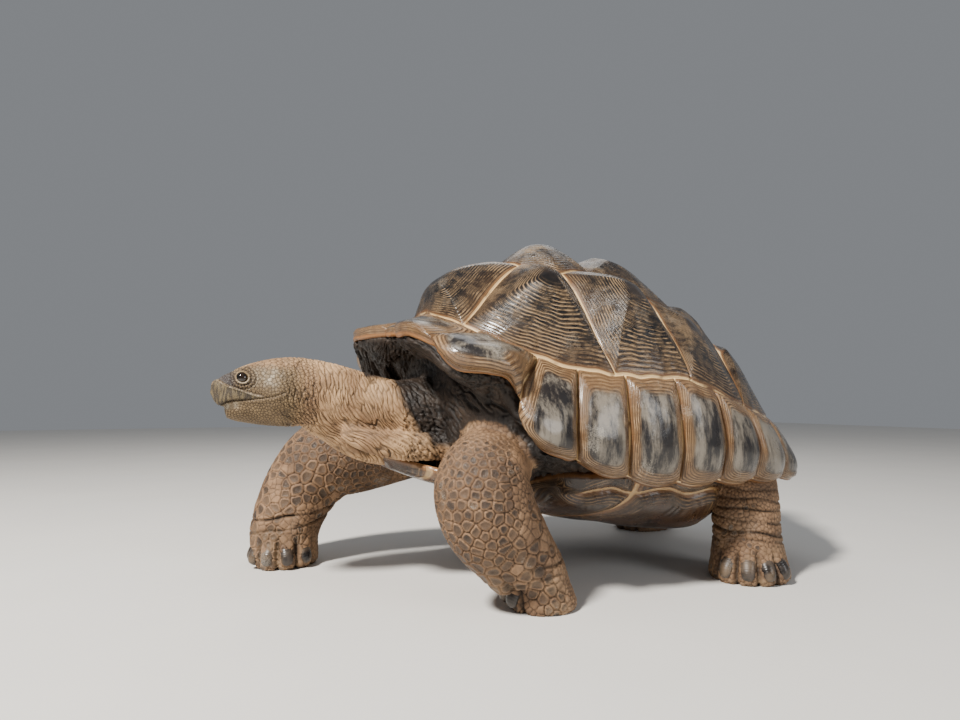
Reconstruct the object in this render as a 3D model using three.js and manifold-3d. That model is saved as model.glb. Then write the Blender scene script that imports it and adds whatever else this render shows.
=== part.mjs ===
// A giant tortoise of the Aldabra kind, life size, walking with one forefoot stepped forward.
// Millimetres, +Z up. The body is laid out with the floor at z = 0, its head towards -Y and its
// left side towards +X. At the end the group is moved so that its origin is the middle of its
// bottom face.

import * as THREE from 'three';
import Module from 'manifold-3d';

const wasm = await Module();
wasm.setup();

// ---------------------------------------------------------------- driving dimensions

const GAP = 0.32; // clearance between touching pieces
const STEEPEST = 0.3; // keeps a sharp corner from growing too far

// The carapace is a dome over a disc. A point of the disc has a radius r, from 0 at the crown to 1 at
// the rim, and an azimuth in degrees, 0 at the nape, 90 on the left flank and 180 over the tail.
// Each ring gives its half width, its reach to the front and the rear, how square its plan is, its
// heights at front, side and rear, and how quickly it leaves the end heights for the side height.
// Lean raises the shoulders and lowers the haunches.
const DOME_COLUMNS = [
  'r', 'half', 'front', 'rear', 'squareFront', 'squareRear', 'highFront', 'highSide', 'highRear',
  'dropFront', 'dropRear', 'leanFront', 'leanRear',
];
const DOME_RINGS = [
  [0, 0, 0, 0, 2, 2, 704, 704, 704, 1, 1, 0, 0],
  [0.25, 128, 132, 126, 2, 2, 712, 652, 652, 1, 1, 20, 20],
  [0.5, 243, 300, 288, 2.1, 2, 690, 552, 560, 1.4, 0.9, 90, 90],
  [0.75, 342, 450, 450, 2.35, 2.1, 578, 432, 350, 2.2, 0.9, 0, 100],
  [0.9, 366, 498, 495, 2.45, 2.2, 546, 312, 254, 1.5, 0.9, 0, 40],
  [1, 350, 518, 516, 2.4, 2.2, 534, 220, 204, 1.2, 1, 0, 0],
];
const DOME_SEAM = 0.75; // the ring of the seam between the great scutes and the marginals
const SHELL_THICK = 24; // scute and bone together, over the dome
const BRIDGE_THICK = 50; // the marginals where they curl under to meet the plastron
const RIM_THICK = 15; // the free rim over the neck and the tail

// Seams, in degrees of azimuth on the left side. They are mirrored to the right.
const MARGINAL_SEAMS = [4, 26, 41.5, 52, 66, 84, 101, 117, 134, 148, 160, 170];
const COSTAL_SEAMS = [63, 91, 119];
const VERTEBRAL_ENDS = [21, 160];

// Corners of the great scutes on the left side, as [r, azimuth].
const CORNERS = {
  v1Side: [DOME_SEAM, VERTEBRAL_ENDS[0]],
  v1v2: [0.475, 21],
  v2Side: [0.46, 41],
  v2v3: [0.29, 54],
  v3Side: [0.31, 108],
  v3v4: [0.38, 146],
  v4Side: [0.52, 154],
  v4v5: [0.62, 167],
  v5Side: [DOME_SEAM, VERTEBRAL_ENDS[1]],
  c1c2: [DOME_SEAM, COSTAL_SEAMS[0]],
  c2c3: [DOME_SEAM, COSTAL_SEAMS[1]],
  c3c4: [DOME_SEAM, COSTAL_SEAMS[2]],
};

// How high each scute stands over the seams round it, and the depth of the seam groove.
const VERTEBRAL_PEAKS = [44, 52, 50, 38, 26];
const COSTAL_PEAKS = [36, 40, 30, 20];
const MARGINAL_SWELLS = [15, 32, 20, 15, 15, 15, 14, 13, 12, 12, 10]; // from the nape to the tail
const NUCHAL_SWELL = 6;
const TAIL_SWELL = 14;
const GROOVE = 3;
// Steps of a scute from its seam to its middle: [share of the way out, share of the peak].
const GREAT_TIERS = [[0.93, 0.09], [0.6, 0.46], [0.28, 0.84], [0, 1]];
const MARGINAL_TIERS = [[0.86, 0.4], [0.45, 0.9], [0, 1]];
const COSTAL_RISE = 0.86; // the middle of a costal lies above its centre, at this share of its distance out
const MARGINAL_DROP = 1.03; // that of a marginal lies below it
const LOBES = { front: 24, side: 3, rear: 13 }; // how far each marginal bulges past its seams at the rim

const NAPE_NOTCH = { deep: 16, wide: 8 }; // the dip in the rim over the nape, and its width in degrees

// How the rim spreads over the shoulders, and how much higher or lower than its even sweep it runs
// there, by degrees from the nape.
const FLARE = { out: 90, at: 32, wide: 17 };
const RIM_RISE = [
  [0, 0], [12, 8], [20, 30], [26, 32], [32, 16], [38, 38], [40.5, 36], [43.5, -43], [50, -46],
  [56, -38], [66, -20], [78, -4], [90, 0], [180, 0],
];

// Plastron: stations from the gular tip to the tail, with half width, height of the underside on the
// midline and how much higher its side edges are.
const PLASTRON = [
  { y: -550, half: 52, low: 262, rise: 5 },
  { y: -520, half: 88, low: 247, rise: 8 },
  { y: -460, half: 138, low: 224, rise: 14 },
  { y: -390, half: 182, low: 198, rise: 24 },
  { y: -325, half: 214, low: 176, rise: 42 },
  { y: -270, half: 284, low: 158, rise: 78 },
  { y: -225, half: 308, low: 145, rise: 92 },
  { y: -110, half: 314, low: 122, rise: 112 },
  { y: 0, half: 314, low: 103, rise: 124 },
  { y: 105, half: 306, low: 92, rise: 128 },
  { y: 155, half: 268, low: 95, rise: 104 },
  { y: 200, half: 200, low: 103, rise: 52 },
  { y: 300, half: 158, low: 122, rise: 30 },
  { y: 380, half: 118, low: 142, rise: 18 },
  { y: 425, half: 84, low: 154, rise: 10 },
];
const PLASTRON_SEAMS = [-478, -350, -245, 140, 318];
const PLASTRON_THICK = 22;
const PLASTRON_COLUMNS = [-1, -0.94, -0.82, -0.6, -0.03, 0, 0.03, 0.6, 0.82, 0.94, 1];
const BRIDGE_CURVE = 6; // how sharply the underside turns up at the flanks

// Neck and head: cross-sections stand across the Y axis. Each has its top, the height where it is
// widest, its bottom and its half width.
const NECK = [
  { y: -395, top: 452, wide: 350, low: 258, half: 112 },
  { y: -450, top: 440, wide: 348, low: 260, half: 102 },
  { y: -512, top: 432, wide: 350, low: 262, half: 92 },
  { y: -560, top: 441, wide: 360, low: 270, half: 83 },
  { y: -605, top: 453, wide: 375, low: 283, half: 75 },
  { y: -650, top: 465, wide: 391, low: 306, half: 69 },
  { y: -706, top: 474, wide: 405, low: 333, half: 64 },
];
const HEAD = [
  { y: -706.3, top: 474, wide: 405, low: 333, half: 64 },
  { y: -735, top: 475, wide: 408, low: 333, half: 64 },
  { y: -765, top: 472, wide: 410, low: 335, half: 62.5 },
  { y: -792, top: 466, wide: 414, low: 338, half: 57.5 },
  { y: -815, top: 459, wide: 415, low: 342, half: 50.5 },
  { y: -836, top: 450, wide: 411, low: 346, half: 44 },
  { y: -853, top: 441, wide: 406, low: 352, half: 37.5 },
  { y: -866, top: 433, wide: 402, low: 360, half: 31 },
  { y: -876, top: 424, wide: 400, low: 370, half: 24 },
  { y: -883.5, top: 411, wide: 397, low: 382, half: 13 },
];
const EYE = { x: 34.5, y: -828, z: 431, radius: 13.5, socketGap: 0.4 };
const LID = { ring: 15.5, thick: 4.2, squash: 0.86, out: 8, forward: 16, upward: 12 };
const NOSTRIL = { x: 9, y: -878, z: 420, radius: 3.2 };
const MOUTH = { slot: 2.4, depth: 7, halfWide: 80 };
const MOUTH_LINE = [[-896, 381], [-862, 383], [-812, 387], [-772, 394], [-748, 403]]; // [y, z]

// Limbs and tail: stations from the root to the sole. "level" stations lie flat, as the foot does.
// "toes" is the azimuth that the claws face: the forefeet turn in and the hind feet turn out.
const LEGS = {
  leg_front_left: {
    toes: -52,
    claws: 5,
    path: [
      { at: [190, -320, 285], wide: 72, deep: 68 },
      { at: [245, -392, 268], wide: 80, deep: 76 },
      { at: [283, -430, 230], wide: 88, deep: 89 },
      { at: [292, -420, 178], wide: 84, deep: 90 },
      { at: [291, -378, 120], wide: 72, deep: 80 },
      { at: [288, -338, 74], wide: 63, deep: 67 },
      { at: [285, -314, 36], wide: 61, deep: 63, level: true },
      { at: [284, -306, 10], wide: 63, deep: 66, level: true },
      { at: [284, -306, 0], wide: 58, deep: 61, level: true },
    ],
  },
  leg_front_right: {
    toes: 60,
    claws: 5,
    path: [
      { at: [-190, -320, 298], wide: 82, deep: 86 },
      { at: [-240, -415, 288], wide: 92, deep: 102 },
      { at: [-264, -520, 268], wide: 94, deep: 110 },
      { at: [-274, -606, 238], wide: 93, deep: 102 },
      { at: [-276, -654, 188], wide: 89, deep: 93 },
      { at: [-273, -686, 130], wide: 84, deep: 85 },
      { at: [-270, -702, 80], wide: 81, deep: 81 },
      { at: [-269, -707, 40], wide: 83, deep: 83, level: true },
      { at: [-268, -709, 11], wide: 85, deep: 86, level: true },
      { at: [-268, -709, 0], wide: 79, deep: 80, level: true },
    ],
  },
  leg_hind_left: {
    toes: 58,
    claws: 4,
    path: [
      { at: [150, 240, 250], wide: 90, deep: 98 },
      { at: [222, 232, 222], wide: 86, deep: 88 },
      { at: [264, 220, 160], wide: 76, deep: 74 },
      { at: [278, 212, 96], wide: 71, deep: 73 },
      { at: [283, 210, 44], wide: 76, deep: 82, level: true },
      { at: [285, 210, 11], wide: 81, deep: 89, level: true },
      { at: [285, 210, 0], wide: 75, deep: 83, level: true },
    ],
  },
  leg_hind_right: {
    toes: -24,
    claws: 4,
    path: [
      { at: [-150, 240, 250], wide: 92, deep: 104 },
      { at: [-225, 276, 218], wide: 88, deep: 96 },
      { at: [-264, 322, 156], wide: 78, deep: 84 },
      { at: [-276, 348, 94], wide: 72, deep: 78 },
      { at: [-278, 358, 44], wide: 74, deep: 82, level: true },
      { at: [-278, 361, 11], wide: 78, deep: 87, level: true },
      { at: [-278, 361, 0], wide: 72, deep: 81, level: true },
    ],
  },
};
const TAIL = [
  { at: [0, 385, 225], wide: 50, deep: 44 },
  { at: [2, 440, 200], wide: 40, deep: 34 },
  { at: [12, 478, 160], wide: 28, deep: 24 },
  { at: [26, 494, 118], wide: 17, deep: 15 },
  { at: [34, 496, 84], wide: 8, deep: 7 },
];
const CLAW = {
  long: 46,
  root: 15.5,
  tip: 9,
  flat: 0.72,
  sides: 8,
  spacing: 31,
  sunk: 16,
  high: 33,
  tilt: 46,
};

// The soft body between the shells: a rounded block that fills the shell and shows at the leg openings.
const TRUNK = {
  at: [0, 8, 400],
  half: [352, 455, 290],
  square: 3,
  rows: 18,
  columns: 30,
  over: 12,
  slope: 0.45,
};

const LIMB_SIDES = 16;
const NECK_SIDES = 26;

// ---------------------------------------------------------------- small helpers

const radians = THREE.MathUtils.degToRad;
const clamp = THREE.MathUtils.clamp;
const degrees = THREE.MathUtils.radToDeg;
const smooth = (x, from, to) => THREE.MathUtils.smoothstep(x, from, to);

// A closed surface put together from shared points.
class Surface {
  constructor() {
    this.points = [];
    this.faces = [];
    this.places = new Map();
  }

  point(p) {
    const key = `${p.x.toFixed(3)},${p.y.toFixed(3)},${p.z.toFixed(3)}`;
    if (!this.places.has(key)) {
      this.places.set(key, this.points.length);
      this.points.push(p.clone());
    }
    return this.places.get(key);
  }

  face(a, b, c) {
    if (a !== b && b !== c && c !== a) this.faces.push(a, b, c);
  }

  // A band between two loops of as many points.
  band(outer, inner) {
    for (let i = 0; i < outer.length; i += 1) {
      const j = (i + 1) % outer.length;
      this.face(outer[i], outer[j], inner[j]);
      this.face(outer[i], inner[j], inner[i]);
    }
  }

  fan(loop, centre) {
    for (let i = 0; i < loop.length; i += 1) this.face(loop[i], loop[(i + 1) % loop.length], centre);
  }

  // Moves each point out until every face round it has moved by the distance.
  grown(distance) {
    const around = this.points.map(() => []);
    for (let i = 0; i < this.faces.length; i += 3) {
      const [a, b, c] = this.faces.slice(i, i + 3);
      const side = this.points[b].clone().sub(this.points[a]);
      const normal = side.cross(this.points[c].clone().sub(this.points[a])).normalize();
      for (const k of [a, b, c]) around[k].push(normal);
    }
    const out = new Surface();
    out.faces = this.faces;
    out.points = this.points.map((p, i) => {
      const mean = around[i].reduce((sum, normal) => sum.add(normal), new THREE.Vector3()).normalize();
      const least = Math.min(...around[i].map((normal) => normal.dot(mean)));
      return p.clone().addScaledVector(mean, distance / Math.max(least, STEEPEST));
    });
    return out;
  }

  turnedInsideOut() {
    for (let i = 0; i < this.faces.length; i += 3) {
      [this.faces[i + 1], this.faces[i + 2]] = [this.faces[i + 2], this.faces[i + 1]];
    }
    return this;
  }

  solid() {
    const vertProperties = new Float32Array(this.points.flatMap((p) => [p.x, p.y, p.z]));
    const mesh = new wasm.Mesh({ numProp: 3, vertProperties, triVerts: new Uint32Array(this.faces) });
    return new wasm.Manifold(mesh);
  }
}

// Straight or rounded values between the entries of a table, by a key.
function between(table, key, value, fields) {
  const last = table.length - 1;
  let i = 0;
  while (i < last - 1 && value > table[i + 1][key]) i += 1;
  const [a, b] = [table[i], table[i + 1]];
  const before = table[i - 1] ?? a;
  const after = table[i + 2] ?? b;
  const step = b[key] - a[key];
  const t = clamp((value - a[key]) / step, 0, 1);
  const out = {};
  for (const field of fields) {
    const slopeA = ((b[field] - before[field]) / (b[key] - before[key])) * step;
    const slopeB = ((after[field] - a[field]) / (after[key] - a[key])) * step;
    out[field] = hermite(a[field], b[field], slopeA, slopeB, t);
  }
  return out;
}

function hermite(a, b, slopeA, slopeB, t) {
  const t2 = t * t;
  const t3 = t2 * t;
  return a * (2 * t3 - 3 * t2 + 1) + slopeA * (t3 - 2 * t2 + t) + b * (3 * t2 - 2 * t3) + slopeB * (t3 - t2);
}

function loftSurface(rings) {
  const surface = new Surface();
  const loops = rings.map((ring) => ring.map((p) => surface.point(p)));
  const middle = (ring) => ring.reduce((sum, p) => sum.add(p), new THREE.Vector3()).divideScalar(ring.length);
  for (let i = 0; i + 1 < loops.length; i += 1) surface.band(loops[i], loops[i + 1]);
  surface.fan([...loops[0]].reverse(), surface.point(middle(rings[0])));
  surface.fan(loops[loops.length - 1], surface.point(middle(rings[rings.length - 1])));
  return surface;
}

// The largest closed piece of a solid.
function largest(solid) {
  return solid.decompose().reduce((best, piece) => (piece.volume() > best.volume() ? piece : best));
}

// ---------------------------------------------------------------- carapace

const DOME_TABLE = DOME_RINGS.map((ring) => {
  return Object.fromEntries(DOME_COLUMNS.map((name, i) => [name, ring[i]]));
});
const DOME_FIELDS = DOME_COLUMNS.slice(1);
const RIM_RISE_TABLE = RIM_RISE.map(([turn, rise]) => ({ turn, rise }));

const ALL_MARGINAL_SEAMS = [...MARGINAL_SEAMS, ...MARGINAL_SEAMS.map((a) => 360 - a)].sort((a, b) => a - b);

// How far the rim stands out between two marginal seams.
function rimLobe(azimuth) {
  const a = ((azimuth % 360) + 360) % 360;
  const next = ALL_MARGINAL_SEAMS.find((seam) => seam > a) ?? ALL_MARGINAL_SEAMS[0] + 360;
  const previous = [...ALL_MARGINAL_SEAMS].reverse().find((seam) => seam <= a) ?? -ALL_MARGINAL_SEAMS[0];
  const across = (2 * (a - previous)) / (next - previous) - 1;
  const along = Math.cos(radians(a));
  const end = along > 0 ? LOBES.front : LOBES.rear;
  return (LOBES.side + (end - LOBES.side) * along * along) * (1 - across * across);
}

function domePoint(u, v) {
  const r = Math.hypot(u, v);
  const azimuth = r > 1e-9 ? Math.atan2(u, -v) : 0;
  const ring = between(DOME_TABLE, 'r', r, DOME_FIELDS);
  if (r < 1e-6) return new THREE.Vector3(0, 0, ring.highSide);
  const sine = Math.sin(azimuth);
  const cosine = Math.cos(azimuth);
  const ahead = cosine > 0;
  const reach = ahead ? ring.front : ring.rear;
  const square = ahead ? ring.squareFront : ring.squareRear;
  const sides = Math.abs(sine / ring.half) ** square + Math.abs(cosine / reach) ** square;
  const rim = smooth(r, DOME_SEAM, 1);
  const nape = NAPE_NOTCH.deep * Math.exp(-((degrees(azimuth) / NAPE_NOTCH.wide) ** 2));
  const turn = Math.abs(degrees(azimuth));
  const flare = FLARE.out * Math.exp(-(((turn - FLARE.at) / FLARE.wide) ** 2));
  const rise = between(RIM_RISE_TABLE, 'turn', turn, ['rise']).rise * rim;
  const out = sides ** (-1 / square) + (rimLobe(degrees(azimuth)) + flare - nape) * rim;
  const end = ahead ? ring.highFront : ring.highRear;
  const drop = ahead ? ring.dropFront : ring.dropRear;
  const lean = (ahead ? ring.leanFront : ring.leanRear) * sine ** 2 * cosine;
  const high = ring.highSide + (end - ring.highSide) * Math.abs(cosine) ** (2 * drop) + lean + rise;
  return new THREE.Vector3(out * sine, -out * cosine, high);
}

// A point of the dome, lifted along the dome's outward direction.
function onDome(u, v, lift) {
  const step = 0.012;
  const pull = Math.min(1, (1 - step) / Math.max(Math.hypot(u, v), 1e-6));
  const [cu, cv] = [u * pull, v * pull];
  const across = domePoint(cu + step, cv).sub(domePoint(cu - step, cv));
  const along = domePoint(cu, cv + step).sub(domePoint(cu, cv - step));
  return domePoint(u, v).addScaledVector(across.cross(along).normalize(), lift);
}

const polar = (r, azimuth) => [r * Math.sin(radians(azimuth)), -r * Math.cos(radians(azimuth))];
const mirrored = (corner) => [corner[0], 360 - corner[1]];

// Stops along the seam ring and along the rim, the same for every scute that touches them.
function ringStops(fixed, widest) {
  const stops = [];
  for (let i = 0; i < fixed.length; i += 1) {
    const from = fixed[i];
    const to = i + 1 < fixed.length ? fixed[i + 1] : fixed[0] + 360;
    const count = Math.max(1, Math.ceil((to - from) / widest));
    for (let k = 0; k < count; k += 1) stops.push((from + ((to - from) * k) / count) % 360);
  }
  return stops.sort((a, b) => a - b);
}

const SEAM_MARKS = [...MARGINAL_SEAMS, ...COSTAL_SEAMS, ...VERTEBRAL_ENDS];
const BOTH_SIDES = [...new Set([...SEAM_MARKS, ...SEAM_MARKS.map((a) => 360 - a)])].sort((a, b) => a - b);
const SEAM_STOPS = ringStops(BOTH_SIDES, 9);
const RIM_STOPS = ALL_MARGINAL_SEAMS.flatMap((seam, i) => {
  const next = ALL_MARGINAL_SEAMS[i + 1] ?? ALL_MARGINAL_SEAMS[0] + 360;
  return [0, 0.22, 0.5, 0.78].map((share) => (seam + (next - seam) * share) % 360);
}).sort((a, b) => a - b);

// The stops from one azimuth to another, ends included, going up or down.
function arc(r, from, to, stops) {
  const low = Math.min(from, to);
  const high = Math.max(from, to);
  const turns = [...stops.map((a) => a - 360), ...stops, ...stops.map((a) => a + 360)];
  const inside = turns.filter((a) => a > low + 1e-6 && a < high - 1e-6);
  const all = [low, ...inside, high].map((a) => polar(r, ((a % 360) + 360) % 360));
  return from < to ? all : all.reverse();
}

// A straight edge between two corners, cut alike from either end.
function edge(a, b, pieces) {
  const forward = a[0] < b[0] || (a[0] === b[0] && a[1] < b[1]);
  const [from, to] = forward ? [a, b] : [b, a];
  const list = [];
  for (let k = 0; k <= pieces; k += 1) {
    const t = k / pieces;
    list.push([from[0] + (to[0] - from[0]) * t, from[1] + (to[1] - from[1]) * t]);
  }
  return forward ? list : list.reverse();
}

// The outline of a scute from its corners. Two neighbouring corners on the seam ring are joined by
// the arc of that ring, any others by a straight edge.
function scuteOutline(corners) {
  const outline = [];
  corners.forEach((corner, i) => {
    const next = corners[(i + 1) % corners.length];
    const onSeam = corner[0] === DOME_SEAM && next[0] === DOME_SEAM;
    let turn = next[1] - corner[1];
    if (turn > 180) turn -= 360;
    if (turn < -180) turn += 360;
    const part = onSeam
      ? arc(DOME_SEAM, corner[1], corner[1] + turn, SEAM_STOPS)
      : edge(polar(...corner), polar(...next), 3);
    outline.push(...part.slice(0, -1));
  });
  return outline;
}

function greatScutes() {
  const k = CORNERS;
  const m = Object.fromEntries(Object.entries(CORNERS).map(([name, corner]) => [name, mirrored(corner)]));
  const vertebrals = [
    [k.v1Side, k.v1v2, m.v1v2, m.v1Side],
    [k.v1v2, k.v2Side, k.v2v3, m.v2v3, m.v2Side, m.v1v2],
    [k.v2v3, k.v3Side, k.v3v4, m.v3v4, m.v3Side, m.v2v3],
    [k.v3v4, k.v4Side, k.v4v5, m.v4v5, m.v4Side, m.v3v4],
    [k.v4v5, k.v5Side, m.v5Side, m.v4v5],
  ];
  const costals = [
    [k.v1Side, k.c1c2, k.v2Side, k.v1v2],
    [k.c1c2, k.c2c3, k.v3Side, k.v2v3, k.v2Side],
    [k.c2c3, k.c3c4, k.v4Side, k.v3v4, k.v3Side],
    [k.c3c4, k.v5Side, k.v4v5, k.v4Side],
  ];
  const list = vertebrals.map((corners, i) => ({ outline: scuteOutline(corners), peak: VERTEBRAL_PEAKS[i] }));
  costals.forEach((corners, i) => {
    for (const side of [corners, corners.map(mirrored)]) {
      list.push({ outline: scuteOutline(side), peak: COSTAL_PEAKS[i], shift: COSTAL_RISE });
    }
  });
  return list.map((scute) => ({ ...scute, tiers: GREAT_TIERS }));
}

// Marginals, with the narrow nuchal over the nape and the one wide scute over the tail.
function marginalScutes() {
  const swells = [...MARGINAL_SWELLS, TAIL_SWELL, ...[...MARGINAL_SWELLS].reverse(), NUCHAL_SWELL];
  return ALL_MARGINAL_SEAMS.map((from, i) => {
    const to = ALL_MARGINAL_SEAMS[i + 1] ?? ALL_MARGINAL_SEAMS[0] + 360;
    const outline = [
      ...arc(DOME_SEAM, from, to, SEAM_STOPS).slice(0, -1),
      ...edge(polar(DOME_SEAM, to % 360), polar(1, to % 360), 2).slice(0, -1),
      ...arc(1, to, from, RIM_STOPS).slice(0, -1),
      ...edge(polar(1, from), polar(DOME_SEAM, from), 2).slice(0, -1),
    ];
    return { outline, peak: swells[i], tiers: MARGINAL_TIERS, shift: MARGINAL_DROP };
  });
}

function centroid(outline) {
  let area = 0;
  let u = 0;
  let v = 0;
  outline.forEach(([u0, v0], i) => {
    const [u1, v1] = outline[(i + 1) % outline.length];
    const cross = u0 * v1 - u1 * v0;
    area += cross;
    u += (u0 + u1) * cross;
    v += (v0 + v1) * cross;
  });
  return [u / (3 * area), v / (3 * area), area];
}

function addScute(surface, { outline, peak, tiers, shift = 1 }) {
  const [middleU, middleV, area] = centroid(outline);
  const [cu, cv] = [middleU * shift, middleV * shift];
  const round = area > 0 ? outline : [...outline].reverse();
  const loopAt = (share, lift) =>
    round.map(([u, v]) => surface.point(onDome(cu + (u - cu) * share, cv + (v - cv) * share, lift)));
  let outer = round.map(([u, v]) => surface.point(onDome(u, v, -GROOVE)));
  for (const [share, rise] of tiers) {
    if (share === 0) {
      surface.fan(outer, surface.point(onDome(cu, cv, peak * rise)));
    } else {
      const inner = loopAt(share, peak * rise);
      surface.band(outer, inner);
      outer = inner;
    }
  }
}

// Thickness of the shell at a place of the disc: thin at the free rim, thick at the bridges.
function shellThickness(r, azimuth) {
  const a = azimuth > 180 ? 360 - azimuth : azimuth;
  const bridge = smooth(a, 44, 62) * (1 - smooth(a, 112, 132));
  const rim = RIM_THICK + (BRIDGE_THICK - RIM_THICK) * bridge;
  return SHELL_THICK + (rim - SHELL_THICK) * smooth(r, DOME_SEAM, 1);
}

function innerLoop(r, extra) {
  return RIM_STOPS.map((azimuth) => {
    const [u, v] = polar(r, azimuth);
    return onDome(u, v, -shellThickness(r, azimuth) - extra);
  });
}

const INNER_RINGS = [1, 0.9, 0.75, 0.5, 0.25];

function carapaceSurface() {
  const surface = new Surface();
  for (const scute of [...greatScutes(), ...marginalScutes()]) addScute(surface, scute);
  let outer = RIM_STOPS.map((azimuth) => surface.point(onDome(...polar(1, azimuth), -GROOVE))).reverse();
  for (const r of INNER_RINGS) {
    const inner = innerLoop(r, 0).map((p) => surface.point(p)).reverse();
    surface.band(outer, inner);
    outer = inner;
  }
  surface.fan(outer, surface.point(onDome(0, 0, -SHELL_THICK)));
  return surface;
}

// The room inside the carapace, with straight sides below its rim down to the given level.
function shellRoom(level) {
  const surface = new Surface();
  const rings = INNER_RINGS.map((r) => innerLoop(r, GAP));
  const foot = rings[0].map((p) => new THREE.Vector3(p.x, p.y, level));
  const loops = [foot, ...rings].map((loop) => loop.map((p) => surface.point(p)).reverse());
  surface.fan([...loops[0]].reverse(), surface.point(new THREE.Vector3(0, 0, level)));
  for (let i = 0; i + 1 < loops.length; i += 1) surface.band(loops[i], loops[i + 1]);
  surface.fan(loops[loops.length - 1], surface.point(onDome(0, 0, -SHELL_THICK - GAP)));
  return surface.turnedInsideOut();
}

// ---------------------------------------------------------------- plastron

function plastronRows() {
  const rows = PLASTRON.map((station) => ({ y: station.y, dip: 0 }));
  for (const seam of PLASTRON_SEAMS) {
    for (const [offset, dip] of [[-7, 0], [0, GROOVE], [7, 0]]) rows.push({ y: seam + offset, dip });
  }
  return rows.sort((a, b) => a.y - b.y);
}

function plastronSurface() {
  const surface = new Surface();
  const first = PLASTRON[0].y;
  const lastY = PLASTRON[PLASTRON.length - 1].y;
  const rows = plastronRows().map(({ y, dip }) => {
    const station = between(PLASTRON, 'y', y, ['half', 'low', 'rise']);
    const end = y === first || y === lastY;
    return PLASTRON_COLUMNS.map((share) => {
      const x = station.half * share;
      const under = station.low + station.rise * Math.abs(share) ** BRIDGE_CURVE;
      const groove = share === 0 && !end ? GROOVE : dip;
      const upper = under + PLASTRON_THICK * (end ? 0.6 : 1 - 0.4 * Math.abs(share) ** 6);
      return {
        under: surface.point(new THREE.Vector3(x, y, under + groove)),
        upper: surface.point(new THREE.Vector3(x, y, upper)),
      };
    });
  });
  for (let i = 0; i + 1 < rows.length; i += 1) {
    for (let j = 0; j + 1 < PLASTRON_COLUMNS.length; j += 1) {
      const [a, b, c, d] = [rows[i][j], rows[i][j + 1], rows[i + 1][j + 1], rows[i + 1][j]];
      surface.face(a.upper, b.upper, c.upper);
      surface.face(a.upper, c.upper, d.upper);
      surface.face(a.under, c.under, b.under);
      surface.face(a.under, d.under, c.under);
    }
  }
  const lastRow = rows.length - 1;
  const lastColumn = PLASTRON_COLUMNS.length - 1;
  const border = [
    ...rows[0].slice(0, -1),
    ...rows.slice(0, -1).map((row) => row[lastColumn]),
    ...[...rows[lastRow]].reverse().slice(0, -1),
    ...[...rows.slice(1)].reverse().map((row) => row[0]),
  ];
  border.forEach((here, i) => {
    const next = border[(i + 1) % border.length];
    surface.face(here.under, next.under, next.upper);
    surface.face(here.under, next.upper, here.upper);
  });
  return surface;
}

// ---------------------------------------------------------------- flesh

// A ring that is wider or narrower above its widest line than below it.
function uprightRing({ y, top, wide, low, half }, sides, inset = 0) {
  const ring = [];
  for (let i = 0; i < sides; i += 1) {
    const angle = (2 * Math.PI * i) / sides;
    const up = Math.sin(angle);
    const tall = (up > 0 ? top - wide : wide - low) - inset;
    const side = Math.cos(angle);
    const x = Math.sign(side) * Math.abs(side) ** 0.86 * Math.max(half - inset, 1);
    ring.push(new THREE.Vector3(x, y, wide + Math.sign(up) * Math.abs(up) ** 0.94 * Math.max(tall, 1)));
  }
  return ring;
}

const uprightLoft = (stations, inset = 0) =>
  loftSurface(stations.map((station) => uprightRing(station, NECK_SIDES, inset)));

// A limb or tail along its stations, with rounded stretches between them.
function limbSurface(stations, sides, steps) {
  const centres = stations.map((station) => new THREE.Vector3(...station.at));
  const curve = new THREE.CatmullRomCurve3(centres, false, 'centripetal');
  const rings = [];
  stations.forEach((station, i) => {
    const last = i === stations.length - 1;
    const count = last || station.level || stations[i + 1].level ? 1 : steps;
    for (let k = 0; k < count; k += 1) {
      const t = (i + k / count) / (stations.length - 1);
      const next = stations[Math.min(i + 1, stations.length - 1)];
      const share = k / count;
      const wide = station.wide + (next.wide - station.wide) * share;
      const deep = station.deep + (next.deep - station.deep) * share;
      const down = station.level ? new THREE.Vector3(0, 0, -1) : curve.getTangent(t);
      const centre = count === 1 ? centres[i] : curve.getPoint(t);
      rings.push(crossRing(centre, down, wide, deep, sides));
    }
  });
  return loftSurface(rings);
}

function crossRing(centre, direction, wide, deep, sides) {
  const across = new THREE.Vector3(1, 0, 0).addScaledVector(direction, -direction.x).normalize();
  const back = new THREE.Vector3().crossVectors(across, direction).normalize();
  const ring = [];
  for (let i = 0; i < sides; i += 1) {
    const angle = (-2 * Math.PI * i) / sides;
    const p = centre.clone().addScaledVector(across, wide * Math.cos(angle));
    ring.push(p.addScaledVector(back, deep * Math.sin(angle)));
  }
  return ring;
}

// The lowest the trunk may hang: just over the underside of the plastron, and rising beside it.
function trunkFloor(x, y) {
  const { half, low, rise } = between(PLASTRON, 'y', y, ['half', 'low', 'rise']);
  const share = Math.min(1, Math.abs(x) / half);
  const beside = Math.max(0, Math.abs(x) - half);
  return low + rise * share ** BRIDGE_CURVE + TRUNK.over + TRUNK.slope * beside;
}

function trunkSurface() {
  const { at, half, square, rows, columns } = TRUNK;
  const power = (value) => Math.sign(value) * Math.abs(value) ** (2 / square);
  const rings = [];
  for (let i = 1; i < rows; i += 1) {
    const tilt = Math.PI * (i / rows - 0.5);
    const ring = [];
    for (let j = 0; j < columns; j += 1) {
      const turn = (2 * Math.PI * j) / columns;
      const x = at[0] + half[0] * power(Math.cos(tilt)) * power(Math.cos(turn));
      const y = at[1] + half[1] * power(Math.cos(tilt)) * power(Math.sin(turn));
      const z = at[2] + half[2] * power(Math.sin(tilt));
      ring.push(new THREE.Vector3(x, y, Math.max(z, trunkFloor(x, y))));
    }
    rings.push(ring);
  }
  return loftSurface(rings);
}

// ---------------------------------------------------------------- head details, claws

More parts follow.
